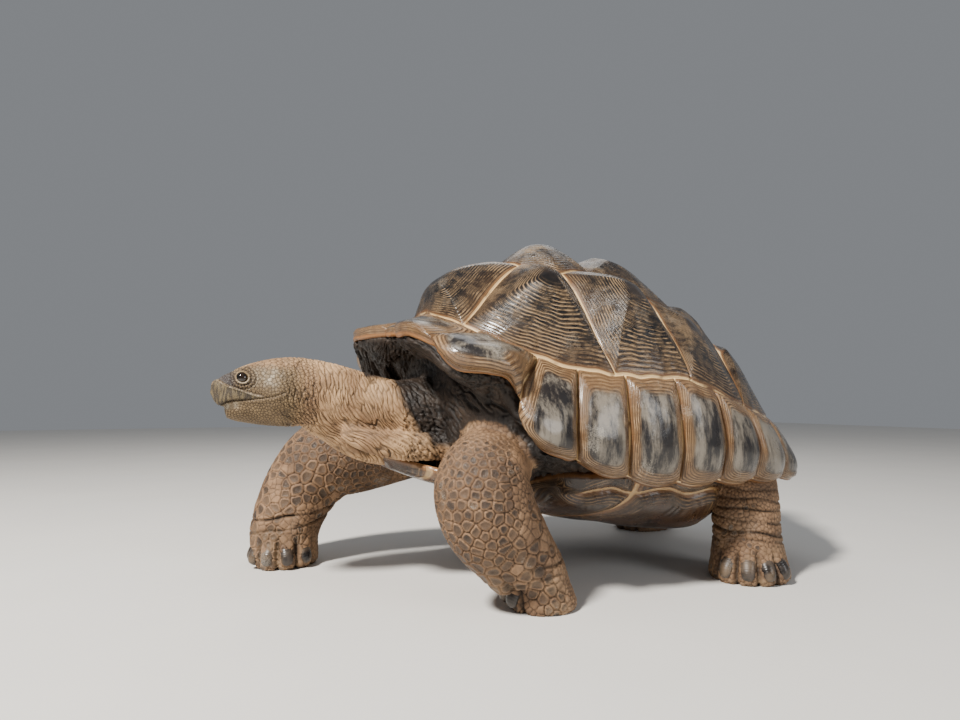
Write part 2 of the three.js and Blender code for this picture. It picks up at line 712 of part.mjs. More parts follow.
function blob(x, y, z, rx, ry, rz, segments) {
  const sphere = new THREE.SphereGeometry(1, segments, Math.round(segments * 0.7));
  sphere.scale(rx, ry, rz);
  sphere.translate(x, y, z);
  return fromGeometry(sphere);
}

function fromGeometry(geometry) {
  const surface = new Surface();
  const position = geometry.attributes.position;
  const at = [];
  for (let i = 0; i < position.count; i += 1) {
    at.push(surface.point(new THREE.Vector3().fromBufferAttribute(position, i)));
  }
  const corners = geometry.index ? Array.from(geometry.index.array, (i) => at[i]) : at;
  for (let i = 0; i < corners.length; i += 3) surface.face(corners[i], corners[i + 1], corners[i + 2]);
  return surface;
}

// A ring of skin round each eye, lying on the side of the head.
function lid(side) {
  const ring = new THREE.TorusGeometry(LID.ring, LID.thick, 6, 14);
  ring.scale(1.06, LID.squash, 1);
  ring.rotateY(Math.PI / 2);
  ring.rotateZ(-side * radians(LID.forward));
  ring.rotateY(-side * radians(LID.upward));
  ring.translate(side * (EYE.x + LID.out), EYE.y, EYE.z);
  return fromGeometry(ring);
}

// The slot between the jaws: a thin slab along the mouth line, less the core of the head.
function mouthCutter() {
  const half = MOUTH.slot / 2;
  const outline = new THREE.Shape();
  MOUTH_LINE.forEach(([y, z], i) => (i === 0 ? outline.moveTo(y, z - half) : outline.lineTo(y, z - half)));
  [...MOUTH_LINE].reverse().forEach(([y, z]) => outline.lineTo(y, z + half));
  const slab = new THREE.ExtrudeGeometry(outline, { depth: 2 * MOUTH.halfWide, bevelEnabled: false });
  slab.translate(0, 0, -MOUTH.halfWide);
  slab.rotateX(Math.PI / 2);
  slab.rotateZ(Math.PI / 2);
  return slab;
}

function claw(foot, toes, spread) {
  const sole = foot[foot.length - 2];
  const [x, y] = sole.at;
  const turn = radians(toes + spread);
  const direction = new THREE.Vector3(Math.sin(turn), -Math.cos(turn), 0);
  const reach = 1 / Math.hypot(direction.x / sole.wide, direction.y / sole.deep);
  const cone = new THREE.CylinderGeometry(CLAW.tip, CLAW.root, CLAW.long, CLAW.sides, 1);
  cone.scale(1, 1, CLAW.flat);
  cone.translate(0, CLAW.long / 2 - CLAW.sunk, 0);
  cone.rotateX(-radians(CLAW.tilt));
  cone.rotateZ(turn + Math.PI);
  cone.translate(x + direction.x * reach, y + direction.y * reach, CLAW.high);
  return fromGeometry(cone);
}

// ---------------------------------------------------------------- putting it together

const carapace = carapaceSurface();
const carapaceSolid = carapace.solid();
const carapaceRoom = carapace.grown(GAP).solid();
const plastron = plastronSurface();
const plastronSolid = largest(plastron.solid().subtract(carapaceRoom));
const plastronRoom = plastron.grown(GAP).solid();

const trunk = trunkSurface();
const insideShell = shellRoom(60).solid();
const trunkSolid = largest(trunk.solid().intersect(insideShell).subtract(plastronRoom));
const trunkRoom = trunk.grown(GAP).solid();

const bodyRoom = trunkRoom.add(carapaceRoom).add(plastronRoom);
const clearOfBody = (solid) => largest(solid.subtract(bodyRoom));

function headSolid() {
  let solid = uprightLoft(HEAD).solid();
  for (const side of [1, -1]) {
    solid = solid.add(lid(side).solid());
    const socket = EYE.radius + EYE.socketGap;
    solid = solid.subtract(blob(side * EYE.x, EYE.y, EYE.z, socket, socket, socket, 14).solid());
    const { x, y, z, radius } = NOSTRIL;
    solid = solid.subtract(blob(side * x, y, z, radius, radius * 2, radius * 0.8, 8).solid());
  }
  const core = uprightLoft(HEAD, MOUTH.depth).solid();
  return largest(solid.subtract(fromGeometry(mouthCutter()).solid().subtract(core)));
}

function legSolid({ toes, claws, path }) {
  let solid = limbSurface(path, LIMB_SIDES, 2).solid();
  for (let i = 0; i < claws; i += 1) {
    solid = solid.add(claw(path, toes, (i - (claws - 1) / 2) * CLAW.spacing).solid());
  }
  return clearOfBody(solid);
}

const COLOURS = {
  carapace: 0x5a4a3c,
  plastron: 0x8a6a44,
  skin: 0x8d7355,
  eye: 0x14110f,
};

function meshOf(name, solid, colour, roughness) {
  const { vertProperties, triVerts, numProp } = solid.getMesh();
  const positions = new Float32Array((vertProperties.length / numProp) * 3);
  for (let i = 0; i < positions.length / 3; i += 1) {
    for (let k = 0; k < 3; k += 1) positions[3 * i + k] = vertProperties[numProp * i + k];
  }
  const geometry = new THREE.BufferGeometry();
  geometry.setAttribute('position', new THREE.BufferAttribute(positions, 3));
  geometry.setIndex(new THREE.BufferAttribute(new Uint32Array(triVerts), 1));
  geometry.computeVertexNormals();
  const mesh = new THREE.Mesh(geometry, new THREE.MeshStandardMaterial({ color: colour, roughness }));
  mesh.name = name;
  return mesh;
}

const tortoise = new THREE.Group();
tortoise.name = 'giant_tortoise';
tortoise.add(meshOf('carapace', carapaceSolid, COLOURS.carapace, 0.4));
tortoise.add(meshOf('plastron', plastronSolid, COLOURS.plastron, 0.5));
tortoise.add(meshOf('torso', trunkSolid, COLOURS.skin, 0.8));
tortoise.add(meshOf('neck', clearOfBody(uprightLoft(NECK).solid()), COLOURS.skin, 0.8));
tortoise.add(meshOf('head', headSolid(), COLOURS.skin, 0.75));
for (const [name, side] of [['eye_left', 1], ['eye_right', -1]]) {
  const ball = blob(side * EYE.x, EYE.y, EYE.z, EYE.radius, EYE.radius, EYE.radius, 14);
  tortoise.add(meshOf(name, ball.solid(), COLOURS.eye, 0.1));
}
for (const [name, leg] of Object.entries(LEGS)) {
  tortoise.add(meshOf(name, legSolid(leg), COLOURS.skin, 0.85));
}
tortoise.add(meshOf('tail', clearOfBody(limbSurface(TAIL, 12, 2).solid()), COLOURS.skin, 0.8));

const box = new THREE.Box3().setFromObject(tortoise);
tortoise.position.set(-(box.min.x + box.max.x) / 2, -(box.min.y + box.max.y) / 2, -box.min.z);
tortoise.updateMatrixWorld(true);

export default tortoise;
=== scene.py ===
"""A giant tortoise of the Aldabra kind, life size, still and in mid-stride.

Metres, +Z up, head towards -Y, the animal's left side towards +X. Driving sizes are in millimetres,
in the body's own layout, with the floor at z = 0 and the middle of the shell at y = 0.
"""

import contextlib
import itertools
import math

import bmesh
import bpy
import numpy as np
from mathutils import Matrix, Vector
from mathutils.bvhtree import BVHTree
from mathutils.kdtree import KDTree


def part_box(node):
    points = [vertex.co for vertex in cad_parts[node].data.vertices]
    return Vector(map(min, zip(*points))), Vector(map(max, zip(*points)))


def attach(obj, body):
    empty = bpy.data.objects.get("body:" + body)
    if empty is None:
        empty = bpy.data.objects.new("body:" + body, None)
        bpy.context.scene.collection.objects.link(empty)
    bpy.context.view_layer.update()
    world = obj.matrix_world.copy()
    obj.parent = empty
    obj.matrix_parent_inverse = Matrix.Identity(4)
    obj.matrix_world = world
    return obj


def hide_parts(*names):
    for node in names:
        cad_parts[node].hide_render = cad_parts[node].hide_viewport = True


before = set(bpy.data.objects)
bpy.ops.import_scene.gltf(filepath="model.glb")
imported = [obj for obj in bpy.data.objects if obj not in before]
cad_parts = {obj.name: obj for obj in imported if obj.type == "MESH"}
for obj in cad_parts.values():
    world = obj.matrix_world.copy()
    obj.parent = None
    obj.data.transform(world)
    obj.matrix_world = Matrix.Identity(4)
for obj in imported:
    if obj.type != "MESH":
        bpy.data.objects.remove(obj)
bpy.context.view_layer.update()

MM = 0.001
HEAD_BACK = -706.3  # where the head meets the neck
SEED = 7

# ---------------------------------------------------------------- driving sizes: carapace

# Rings of the dome from crown to rim: radius of the disc, half width, reach to the front and the rear,
# squareness of the plan, heights at front, side and rear, drop from the end heights, and lean.
DOME_RINGS = [
    [0, 0, 0, 0, 2, 2, 704, 704, 704, 1, 1, 0, 0],
    [0.25, 128, 132, 126, 2, 2, 712, 652, 652, 1, 1, 20, 20],
    [0.5, 243, 300, 288, 2.1, 2, 690, 552, 560, 1.4, 0.9, 90, 90],
    [0.75, 342, 450, 438, 2.35, 2.1, 578, 432, 350, 2.2, 0.9, 0, 100],
    [0.9, 366, 498, 476, 2.45, 2.2, 546, 312, 254, 1.5, 0.9, 0, 40],
    [1, 350, 518, 498, 2.4, 2.2, 534, 220, 204, 1.2, 1, 0, 0],
]
DOME_SEAM = 0.75
SHELL_THICK = 24
BRIDGE_THICK = 50
RIM_THICK = 15
MARGINAL_SEAMS = [4, 26, 41.5, 52, 66, 84, 101, 117, 134, 148, 160, 170]
COSTAL_SEAMS = [63, 91, 119]
VERTEBRAL_ENDS = [21, 160]
CORNERS = {
    "v1_side": (DOME_SEAM, 21),
    "v1_v2": (0.475, 21),
    "v2_side": (0.46, 41),
    "v2_v3": (0.29, 54),
    "v3_side": (0.31, 108),
    "v3_v4": (0.38, 146),
    "v4_side": (0.52, 154),
    "v4_v5": (0.62, 167),
    "v5_side": (DOME_SEAM, 160),
    "c1_c2": (DOME_SEAM, 63),
    "c2_c3": (DOME_SEAM, 91),
    "c3_c4": (DOME_SEAM, 119),
}
VERTEBRALS = [
    ("v1_side", "v1_v2", "-v1_v2", "-v1_side"),
    ("v1_v2", "v2_side", "v2_v3", "-v2_v3", "-v2_side", "-v1_v2"),
    ("v2_v3", "v3_side", "v3_v4", "-v3_v4", "-v3_side", "-v2_v3"),
    ("v3_v4", "v4_side", "v4_v5", "-v4_v5", "-v4_side", "-v3_v4"),
    ("v4_v5", "v5_side", "-v5_side", "-v4_v5"),
]
COSTALS = [
    ("v1_side", "c1_c2", "v2_side", "v1_v2"),
    ("c1_c2", "c2_c3", "v3_side", "v2_v3", "v2_side"),
    ("c2_c3", "c3_c4", "v4_side", "v3_v4", "v3_side"),
    ("c3_c4", "v5_side", "v4_v5", "v4_side"),
]
VERTEBRAL_PEAKS = [44, 52, 50, 38, 26]
COSTAL_PEAKS = [36, 40, 30, 20]
MARGINAL_SWELLS = [15, 37, 22, 15, 15, 15, 14, 12, 9, 6, 5]
NUCHAL_SWELL = 6
TAIL_SWELL = 9
GROOVE = 3
GREAT_PROFILE = [[0, 1], [0.28, 0.84], [0.6, 0.46], [0.93, 0.09], [1, 0]]  # share outwards, share of the peak
MARGINAL_PROFILE = [[0, 1], [0.5, 0.93], [0.84, 0.52], [1, 0]]
LOBES = {"front": 24, "side": 5, "rear": 25, "dip": 9}
NAPE_NOTCH = {"deep": 16, "wide": 8}
FLARE = {"out": 90, "at": 32, "wide": 17}  # how the front marginals spread, in mm and degrees
RIGHT_LIP = {"up": 20, "out": 14, "at": -19, "wide": 15}  # the rim to the right of the nape curls higher
RIM_RISE = [  # degrees from the nape, and how far the rim runs over its even sweep there
    [0, 0], [12, 8], [20, 30], [26, 32], [32, 16], [38, 38], [40.5, 36], [43.5, -43], [50, -46], [56, -38],
    [66, -20], [78, -4], [90, 0], [180, 0],
]
GREAT_RINGS = {"loops": 88, "growth": 24, "relief": 1.4, "rounding": 0.62, "ringed": (0.1, 0.3)}
MARGINAL_RINGS = {"loops": 40, "growth": 17, "relief": 1.9, "rounding": 1.5, "ringed": (0.6, 0.74)}
FIRST_FORWARD = 0.05  # how far forward the first plate of the first vertebral lies, as a share of the disc
COSTAL_RISE = 0.86  # the first plate of a costal lies above its middle
MARGINAL_DROP = 1.03  # that of a marginal lies below it
SIDE_SEAM = 0.11  # how much fainter the seams between marginals are
SEAM_WANDER = 0.007  # how far a seam strays from its course, as a share of the disc
OUTLINE_STEP = 6.5  # along the seams
DISC_REACH = 470  # millimetres from the crown to the rim, about
CORNER_BLUR = 0.11  # how much of its outline a scute's first plate is rounded over
INSIDE_DEPTH = 300  # what counts as the distance from the seam at the inner crown
ARC_STEP = 0.75  # degrees
NORMAL_STEP = 0.012  # as a share of the disc
SEAM_LOOPS = [1.0, 0.994, 0.987, 0.979]  # shares of the way out, close to a scute's seam
INNER_LOOPS = (0.03, 0.95, 0.8)  # from the seam: first and last share, and how they crowd towards the seam
RIM_TURNS = [0, 25, 50, 75, 105, 130, 155, 180]  # degrees round the edge
INNER_RINGS = [0.985, 0.965, 0.94, 0.91, 0.87, 0.82, 0.75, 0.66, 0.55, 0.4, 0.25, 0.1]

# ---------------------------------------------------------------- driving sizes: plastron

# Stations from the throat to the tail: y, half width, height of the underside, rise of its sides.
PLASTRON = [
    [-550, 52, 262, 5], [-520, 88, 247, 8], [-460, 138, 224, 14], [-390, 182, 198, 24],
    [-325, 214, 176, 42], [-270, 284, 158, 78], [-225, 308, 145, 92], [-110, 314, 122, 112],
    [0, 314, 103, 124], [105, 306, 92, 128], [155, 268, 95, 104], [200, 200, 103, 52], [300, 158, 122, 30],
    [380, 118, 142, 18], [425, 84, 154, 10],
]
PLASTRON_SEAMS = [-478, -350, -245, 140, 318]
PLASTRON_SEAM_SWEEP = [6, 10, 145, 0, -10]  # how far back each seam has gone where it reaches the side
PLASTRON_THICK = 22
PLASTRON_STEP, PLASTRON_COLUMNS, CROWDED_SIDES = 3.0, 151, 1.6
PLASTRON_RING = 7.5  # from one growth ring to the next
BRIDGED = (70, 95)  # the rise of the sides from which the bridges begin
BRIDGE_CURVE = 6
BRIDGE_SEAM = {"below": 42, "wave": 9, "long": 22, "swell": 13}  # between the bridge and the marginals

# ---------------------------------------------------------------- driving sizes: flesh

# Neck and head: y, top, height of the widest line, bottom, half width.
NECK_AND_HEAD = [
    [-395, 452, 350, 258, 112], [-450, 440, 348, 260, 102], [-512, 432, 350, 262, 92],
    [-560, 441, 360, 270, 83], [-605, 453, 375, 283, 75], [-650, 465, 391, 306, 69],
    [-706, 474, 405, 333, 64], [-735, 475, 408, 333, 64], [-765, 472, 410, 335, 62.5],
    [-792, 466, 414, 338, 57.5], [-815, 459, 415, 342, 50.5], [-836, 450, 411, 346, 44],
    [-853, 441, 406, 352, 37.5], [-866, 433, 402, 360, 31], [-876, 424, 400, 370, 24],
    [-883.5, 411, 397, 382, 13],
]
EYE = {"x": 34.5, "y": -828, "z": 429.5, "radius": 13.5, "opening": 9.3, "squash": 1.13}
LID_LINES = [[0.8, 15.9, 0.9], [0.55, 24.4, 1.0], [0.8, 9.2, 0.6]]  # darkness of each painted shade line, then its place and width round the eye
NOSTRIL = {"x": 9, "z": 420, "open": (1.6, 4.2), "deep": 6.0}
MOUTH_LINE = [[-896, 374], [-868, 375], [-857, 383], [-845, 386], [-814, 388], [-772, 394], [-748, 403]]
BEAK_TOP = [[-890, 430], [-874, 425], [-855, 413], [-836, 407], [-806, 396], [-786, 392]]
FACE_FRONT = [[374, -865], [379, -868], [390, -877], [402, -884], [417, -881], [426, -873], [436, -862],
              [446, -840]]
JAW_FRONT, CHIN = -858, 372  # the lower jaw ends behind the hooked beak, and slopes back under the chin
FACE_SWELLS = [  # brow, jaw muscle, and hollows behind and before the eye: rise, y and reach, z and reach
    [5.5, -826, 24, 453, 10],
    [5.0, -758, 28, 392, 26],
    [-3.0, -784, 15, 430, 13],
    [-3.0, -857, 8, 432, 12],
]

# Legs: x, y, z, half width and half depth of each station, from the root to the sole.
LEGS = {
    "front_left": {
        "toes": -52,
        "claws": 5,
        "path": [
            [190, -320, 285, 72, 68], [245, -392, 268, 80, 76], [283, -430, 230, 88, 89],
            [292, -420, 178, 84, 90], [291, -378, 120, 72, 80], [288, -338, 74, 63, 67],
            [285, -314, 36, 61, 63], [284, -306, 10, 63, 66], [284, -306, 0, 58, 61],
        ],
    },
    "front_right": {
        "toes": 60,
        "claws": 5,
        "path": [
            [-190, -320, 298, 82, 86], [-240, -415, 288, 92, 102], [-264, -520, 268, 94, 110],
            [-274, -606, 238, 93, 102], [-276, -654, 188, 89, 93], [-273, -686, 130, 84, 85],
            [-270, -702, 80, 81, 81], [-269, -707, 40, 83, 83], [-268, -709, 11, 85, 86],
            [-268, -709, 0, 79, 80],
        ],
    },
    "hind_left": {
        "toes": 58,
        "claws": 4,
        "path": [
            [150, 240, 250, 90, 98], [222, 232, 222, 86, 88], [264, 220, 160, 76, 74],
            [278, 212, 96, 71, 73], [283, 210, 44, 76, 82], [285, 210, 11, 81, 89], [285, 210, 0, 75, 83],
        ],
    },
    "hind_right": {
        "toes": -24,
        "claws": 4,
        "path": [
            [-150, 240, 250, 92, 104], [-225, 276, 218, 88, 96], [-264, 322, 156, 78, 84],
            [-276, 348, 94, 72, 78], [-278, 358, 44, 74, 82], [-278, 361, 11, 78, 87],
            [-278, 361, 0, 72, 81],
        ],
    },
}
NECK_RINGS, LIMB_RINGS, BALL_RINGS = 190, 60, 48
FAR = 9.0  # times a leg's girth: not on that leg
LEG_STATIONS, LEG_REACH = 36, 135  # for telling which points belong to a leg
ANKLE = 60  # below this height the rings of a leg lie level
TAIL = [
    [0, 385, 225, 50, 44], [2, 440, 200, 40, 34], [12, 478, 160, 28, 24], [26, 494, 118, 17, 15],
    [34, 496, 84, 8, 7],
]
CLAW = {  # length, girths and tilt; heights of root and tip; how far the root is sunk and set back in the toe
    "long": 42, "root": 16, "tip": 12, "flat": 0.8, "tilt": 58, "high": 36, "low": 14, "sunk": 16, "inset": 9,
}
TOE_SPACING = 31  # degrees
TOE_SCALE_HIGH = 60
TOE_SWELL, TOE_HALF, TOE_GROOVE = 5.5, 15.5, 6.5  # height, half width in degrees, and depth between toes
TOE_TOP = (52, 80)  # heights between which the toes end
LEG_CREASES = {  # height and depth of each ring of folded skin
    "front_left": [(96, 4), (70, 3)],
    "front_right": [(118, 7), (92, 4)],
    "hind_left": [(196, 3), (172, 4), (150, 5), (128, 4), (104, 6), (84, 4)],
    "hind_right": [(196, 3), (172, 4), (150, 5), (128, 4), (104, 6), (84, 4)],
}
CURTAIN = [(0.95, 12), (0.905, 20), (0.85, 30), (0.78, 42)]  # rolls of skin inside the front of the shell
CURTAIN_REACH = 80  # degrees from the nape
EDGE_RUN = [0.80, 0.36, -0.48]  # the way the shell's front edge runs, on the left side
SKIN_FOLDS = [  # loose skin under the neck, on either side: stations as of a leg
    [
        [60, -640, 322, 14, 16], [88, -590, 306, 20, 24], [104, -530, 296, 22, 30],
        [116, -475, 292, 22, 30], [122, -430, 292, 18, 22], [124, -405, 296, 8, 10],
    ],
    [
        [0, -700, 338, 20, 12], [3, -650, 316, 36, 20], [6, -600, 292, 44, 26], [8, -550, 276, 44, 26],
        [8, -500, 268, 34, 18],
    ],
]
TRUNK = {  # a rounded block, held under the dome's inner face and over the plastron
    "at": [0, 8, 400],
    "half": [352, 455, 290],
    "square": 5,
    "rays_from": (0, 8, 340),
    "under": 5,
    "over": 12,
    "slope": 0.45,
    "reach": 0.9,
}
CEILING_RINGS = [1.0, 0.96, 0.92, 0.88, 0.84, 0.8, 0.75, 0.65, 0.5, 0.35, 0.2, 0.06]
VOXEL = 4.8
WELDED = 0.00002  # metres: points closer than this become one
HEAD_SCALES_FROM, FACE_FROM, EYES_FROM, SNOUT_FROM = -690, -700, -780, -862  # y
FINE_FRONT, FINE_REAR, FINE_UNDER = -400, 380, 330  # y, y and z, where the skin is seen past the shell
FINE_LEG = (1.5, 0.12)  # within these girths of a leg, from this share of its length
FINEST = {"front": -512, "half": 120, "over": 255}  # the neck and head
FLESH_SMOOTHINGS, SKIN_SMOOTHINGS = 7, 2
SMOOTHING_PULLS = (0.5, -0.5 * 1.04)  # there and back
NECK_FROM, NECK_HALF, NECK_OVER = -385, 150, 215  # y, x and z

# ---------------------------------------------------------------- shared sums


def layout_offset():
    """Where the body's layout lies in the frame, from the shell's middle and the back of the head."""
    shell_low, shell_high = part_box("carapace")
    head_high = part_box("head")[1]
    return np.array([(shell_low.x + shell_high.x) / 2, head_high.y - HEAD_BACK * MM, 0.0])


OFFSET = layout_offset()


def eased(value, low, high):
    t = np.clip((value - low) / (high - low), 0.0, 1.0)
    return t * t * (3.0 - 2.0 * t)


def bump(distance, reach):
    return np.exp(-((distance / reach) ** 2))


def unit(vectors):
    return vectors / np.linalg.norm(vectors, axis=-1, keepdims=True)


def full_turn(count):
    return 2 * np.pi * np.arange(count) / count


def curve(table, key):
    """The second column of a table where the first one is the key."""
    line = np.array(sorted(table), float)
    return np.interp(key, line[:, 0], line[:, 1])


def mixed(a, b, share):
    return a + (b - a) * share


def between(rows, key):
    """Every column after the first, rounded through the rows, at the keys."""
    table = np.asarray(rows, float)
    x, y = table[:, 0], table[:, 1:]
    slope = np.empty_like(y)
    slope[1:-1] = (y[2:] - y[:-2]) / (x[2:] - x[:-2])[:, None]
    slope[0] = (y[1] - y[0]) / (x[1] - x[0])
    slope[-1] = (y[-1] - y[-2]) / (x[-1] - x[-2])
    i = np.clip(np.searchsorted(x, key, side="right") - 1, 0, len(x) - 2)
    step = (x[i + 1] - x[i])[:, None]
    t = np.clip((np.asarray(key) - x[i])[:, None] / step, 0, 1)
    ahead = y[i + 1] * (3 * t**2 - 2 * t**3) + slope[i + 1] * step * (t**3 - t**2)
    return (y[i] * (2 * t**3 - 3 * t**2 + 1) + slope[i] * step * (t**3 - 2 * t**2 + t) + ahead).T


LATTICE = np.random.default_rng(SEED).uniform(-1, 1, (64, 64, 64))


def noise(points, size, seed=0):
    """Smooth noise from -1 to 1 that changes over about the given size."""
    place = np.asarray(points) / size + np.array([17.31, 5.77, 11.13]) * (seed + 1)
    cell = np.floor(place).astype(np.int32)
    t = place - cell
    t = t * t * (3 - 2 * t)
    weights = (1 - t, t)
    total = np.zeros(len(place))
    for a, b, c in itertools.product((0, 1), repeat=3):
        weight = weights[a][:, 0] * weights[b][:, 1] * weights[c][:, 2]
        total += weight * LATTICE[(cell[:, 0] + a) & 63, (cell[:, 1] + b) & 63, (cell[:, 2] + c) & 63]
    return total


def noises(points, size, seeds):
    return np.column_stack([noise(points, size, seed) for seed in seeds])


def layered_noise(points, size, seed):
    return sum(noise(points, size / 2**k, seed + k) / 2**k for k in range(2))


# ---------------------------------------------------------------- meshes


class Patchwork:
    """Points with marks, and the faces between them, gathered piece by piece and welded at the end."""

    def __init__(self):
        self.points = []
        self.marks = []
        self.quads = []
        self.triangles = []
        self.count = 0

    def add(self, points, marks=None):
        points = np.asarray(points, float).reshape(-1, 3)
        index = np.arange(len(points)) + self.count
        self.points.append(points)
        self.marks.append(np.zeros((len(points), 0)) if marks is None else marks.reshape(len(points), -1))
        self.count += len(points)
        return index

    def bands(self, rings, marks=None):
        """Closed rings of as many points, joined by quads. Gives back their indices."""
        index = self.add(rings, marks).reshape(rings.shape[:2])
        outer, inner = index[:-1], index[1:]
        quads = [outer, np.roll(outer, -1, 1), np.roll(inner, -1, 1), inner]
        self.quads.append(np.stack(quads, -1).reshape(-1, 4))
        return index

    def fan(self, ring, centre):
        self.triangles.append(np.stack([ring, np.roll(ring, -1), np.full(len(ring), centre)], -1))

    def tube(self, rings):
        index = self.bands(rings)
        self.fan(index[0][::-1], self.add(rings[0].mean(0))[0])
        self.fan(index[-1], self.add(rings[-1].mean(0))[0])

    def mesh(self, name, mark_names=()):
        points, marks = np.concatenate(self.points), np.concatenate(self.marks)
        cells = np.round(points / WELDED)
        _, first, back = np.unique(cells, axis=0, return_index=True, return_inverse=True)
        back = back.reshape(-1)
        points, marks = points[first], marks[first]
        quads = back[np.concatenate(self.quads)]
        triangles = back[np.concatenate(self.triangles)] if self.triangles else np.zeros((0, 3), int)
        whole = np.array([len(set(quad)) == 4 for quad in quads])
        mesh = new_mesh(name, points, quads[whole], triangles)
        for k, mark in enumerate(mark_names):
            set_mark(mesh, mark, marks[:, k])
        return mesh


def new_mesh(name, points, quads, triangles):
    mesh = bpy.data.meshes.new(name)
    mesh.vertices.add(len(points))
    mesh.vertices.foreach_set("co", np.asarray(points, np.float32).ravel())
    corners = np.concatenate([quads.ravel(), triangles.ravel()]).astype(np.int32)
    sizes = np.concatenate([np.full(len(quads), 4), np.full(len(triangles), 3)])
    mesh.loops.add(len(corners))
    mesh.loops.foreach_set("vertex_index", corners)
    mesh.polygons.add(len(sizes))
    mesh.polygons.foreach_set("loop_start", (np.cumsum(sizes) - sizes).astype(np.int32))
    mesh.update(calc_edges=True)
    mesh.validate()
    mesh.polygons.foreach_set("use_smooth", np.ones(len(mesh.polygons), bool))
    return mesh


def set_mark(mesh, name, values):
    attribute = mesh.attributes.get(name) or mesh.attributes.new(name, "FLOAT", "POINT")
    attribute.data.foreach_set("value", np.asarray(values, np.float32))


def fetched(rows, name, width=3, kind=np.float32):
    out = np.empty(len(rows) * width, kind)
    rows.foreach_get(name, out)
    return out.reshape(-1, width)


def read(mesh):
    return fetched(mesh.vertices, "co").astype(float)


def read_normals(mesh):
    return fetched(mesh.vertex_normals, "vector").astype(float)


def write(mesh, points):
    mesh.vertices.foreach_set("co", np.asarray(points, np.float32).ravel())
    mesh.update()


def smooth(mesh, rounds):
    """Draws points towards the middle of their neighbours, and back in turn so that nothing shrinks."""
    points, edges = read(mesh), fetched(mesh.edges, "vertices", 2, np.int32)
    count = np.maximum(np.bincount(edges.ravel(), minlength=len(points)), 1)
    for pull in SMOOTHING_PULLS * rounds:
        total = np.zeros_like(points)
        for k, (here, there) in itertools.product(range(3), (edges.T, edges.T[::-1])):
            total[:, k] += np.bincount(here, points[there, k], len(points))
        points = points + (total / count[:, None] - points) * pull
    write(mesh, points)


def added(name, data):
    thing = bpy.data.objects.new(name, data)
    bpy.context.scene.collection.objects.link(thing)
    return thing


def place(mesh, slot, *replaced):
    piece = added(mesh.name, mesh)
    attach(piece, "root")
    if replaced:
        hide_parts(*replaced)


# ---------------------------------------------------------------- carapace form


def rim_lobe(azimuth):
    """How far the rim swells out at an azimuth, and 1 in the middle of a marginal, 0 at its seams."""
    a = np.mod(azimuth, 360)
    i = np.searchsorted(WRAPPED_SEAMS, a, side="right")
    start, stop = WRAPPED_SEAMS[i - 1], WRAPPED_SEAMS[i]
    across = 2 * (a - start) / (stop - start) - 1
    along = np.cos(np.radians(a))
    end = np.where(along > 0, LOBES["front"], LOBES["rear"])
    return (LOBES["side"] + (end - LOBES["side"]) * along**2) * (1 - across**2), 1 - across**2


def dome(disc):
    """Points of the dome, in millimetres, over points of the disc."""
    r, azimuth = np.hypot(*disc.T), np.arctan2(disc[:, 0], -disc[:, 1])
    degrees = np.degrees(azimuth)
    turn = np.abs(degrees)
    fields = between(DOME_RINGS, r)
    half, front, rear, square_front, square_rear, high_front, high_side, high_rear = fields[:8]
    drop_front, drop_rear, lean_front, lean_rear = fields[8:]
    sine, cosine = np.sin(azimuth), np.cos(azimuth)
    ahead = cosine > 0
    square = np.where(ahead, square_front, square_rear)
    half = np.maximum(half, 1e-3)
    reach = np.maximum(np.where(ahead, front, rear), 1e-3)
    sides = np.abs(sine / half) ** square + np.abs(cosine / reach) ** square
    rim = eased(r, DOME_SEAM, 1.0)
    nape = NAPE_NOTCH["deep"] * bump(degrees, NAPE_NOTCH["wide"])
    flare = FLARE["out"] * bump(turn - FLARE["at"], FLARE["wide"])
    rise = between(RIM_RISE, turn)[0] * rim
    lobe, lobed = rim_lobe(degrees)
    rise = rise + LOBES["dip"] * (0.6 - lobed) * rim**2 * eased(turn, 40, 60)
    right_lip = bump(degrees - RIGHT_LIP["at"], RIGHT_LIP["wide"]) * rim
    rise = rise + RIGHT_LIP["up"] * right_lip
    out = sides ** (-1 / square) + (lobe + flare - nape) * rim + RIGHT_LIP["out"] * right_lip
    end, drop = np.where(ahead, high_front, high_rear), np.where(ahead, drop_front, drop_rear)
    lean = np.where(ahead, lean_front, lean_rear) * sine**2 * cosine
    high = high_side + (end - high_side) * np.abs(cosine) ** (2 * drop) + lean + rise
    out = np.where(r < 1e-6, 0, out)
    return np.stack([out * sine, -out * cosine, high], 1)


def dome_normal(disc):
    radius = np.maximum(np.hypot(*disc.T), 1e-6)
    inner = disc * np.minimum(1, (1 - NORMAL_STEP) / radius)[:, None]
    across, along = (dome(inner + step) - dome(inner - step) for step in NORMAL_STEP * np.eye(2))
    return unit(np.cross(across, along))


def polar(r, azimuth):
    a = np.radians(azimuth)
    return np.stack([r * np.sin(a), -r * np.cos(a)], -1)


def wander(places, seed):
    """How far seams stray at places of the disc, as a share of the disc."""
    flat = np.column_stack([places, np.zeros(len(places))])
    return SEAM_WANDER * layered_noise(flat, 0.11, seed)


def seam_ring(azimuth):
    """Places of the disc along the seam between the great scutes and the marginals."""
    on_ring = polar(DOME_SEAM, azimuth)
    return polar(DOME_SEAM + 1.3 * wander(on_ring, 5), azimuth)


def stops(fixed, widest):
    """Azimuths round the shell that hold all the fixed ones and are never further apart than the widest."""
    out = []
    for here, after in zip(fixed, np.append(fixed[1:], fixed[0] + 360)):
        count = max(1, math.ceil((after - here) / widest))
        out.extend(here + (after - here) * np.arange(count) / count)
    return np.sort(np.mod(out, 360))


def both_sides(azimuths):
    return np.array(sorted({side for a in azimuths for side in (a, 360 - a)}), float)


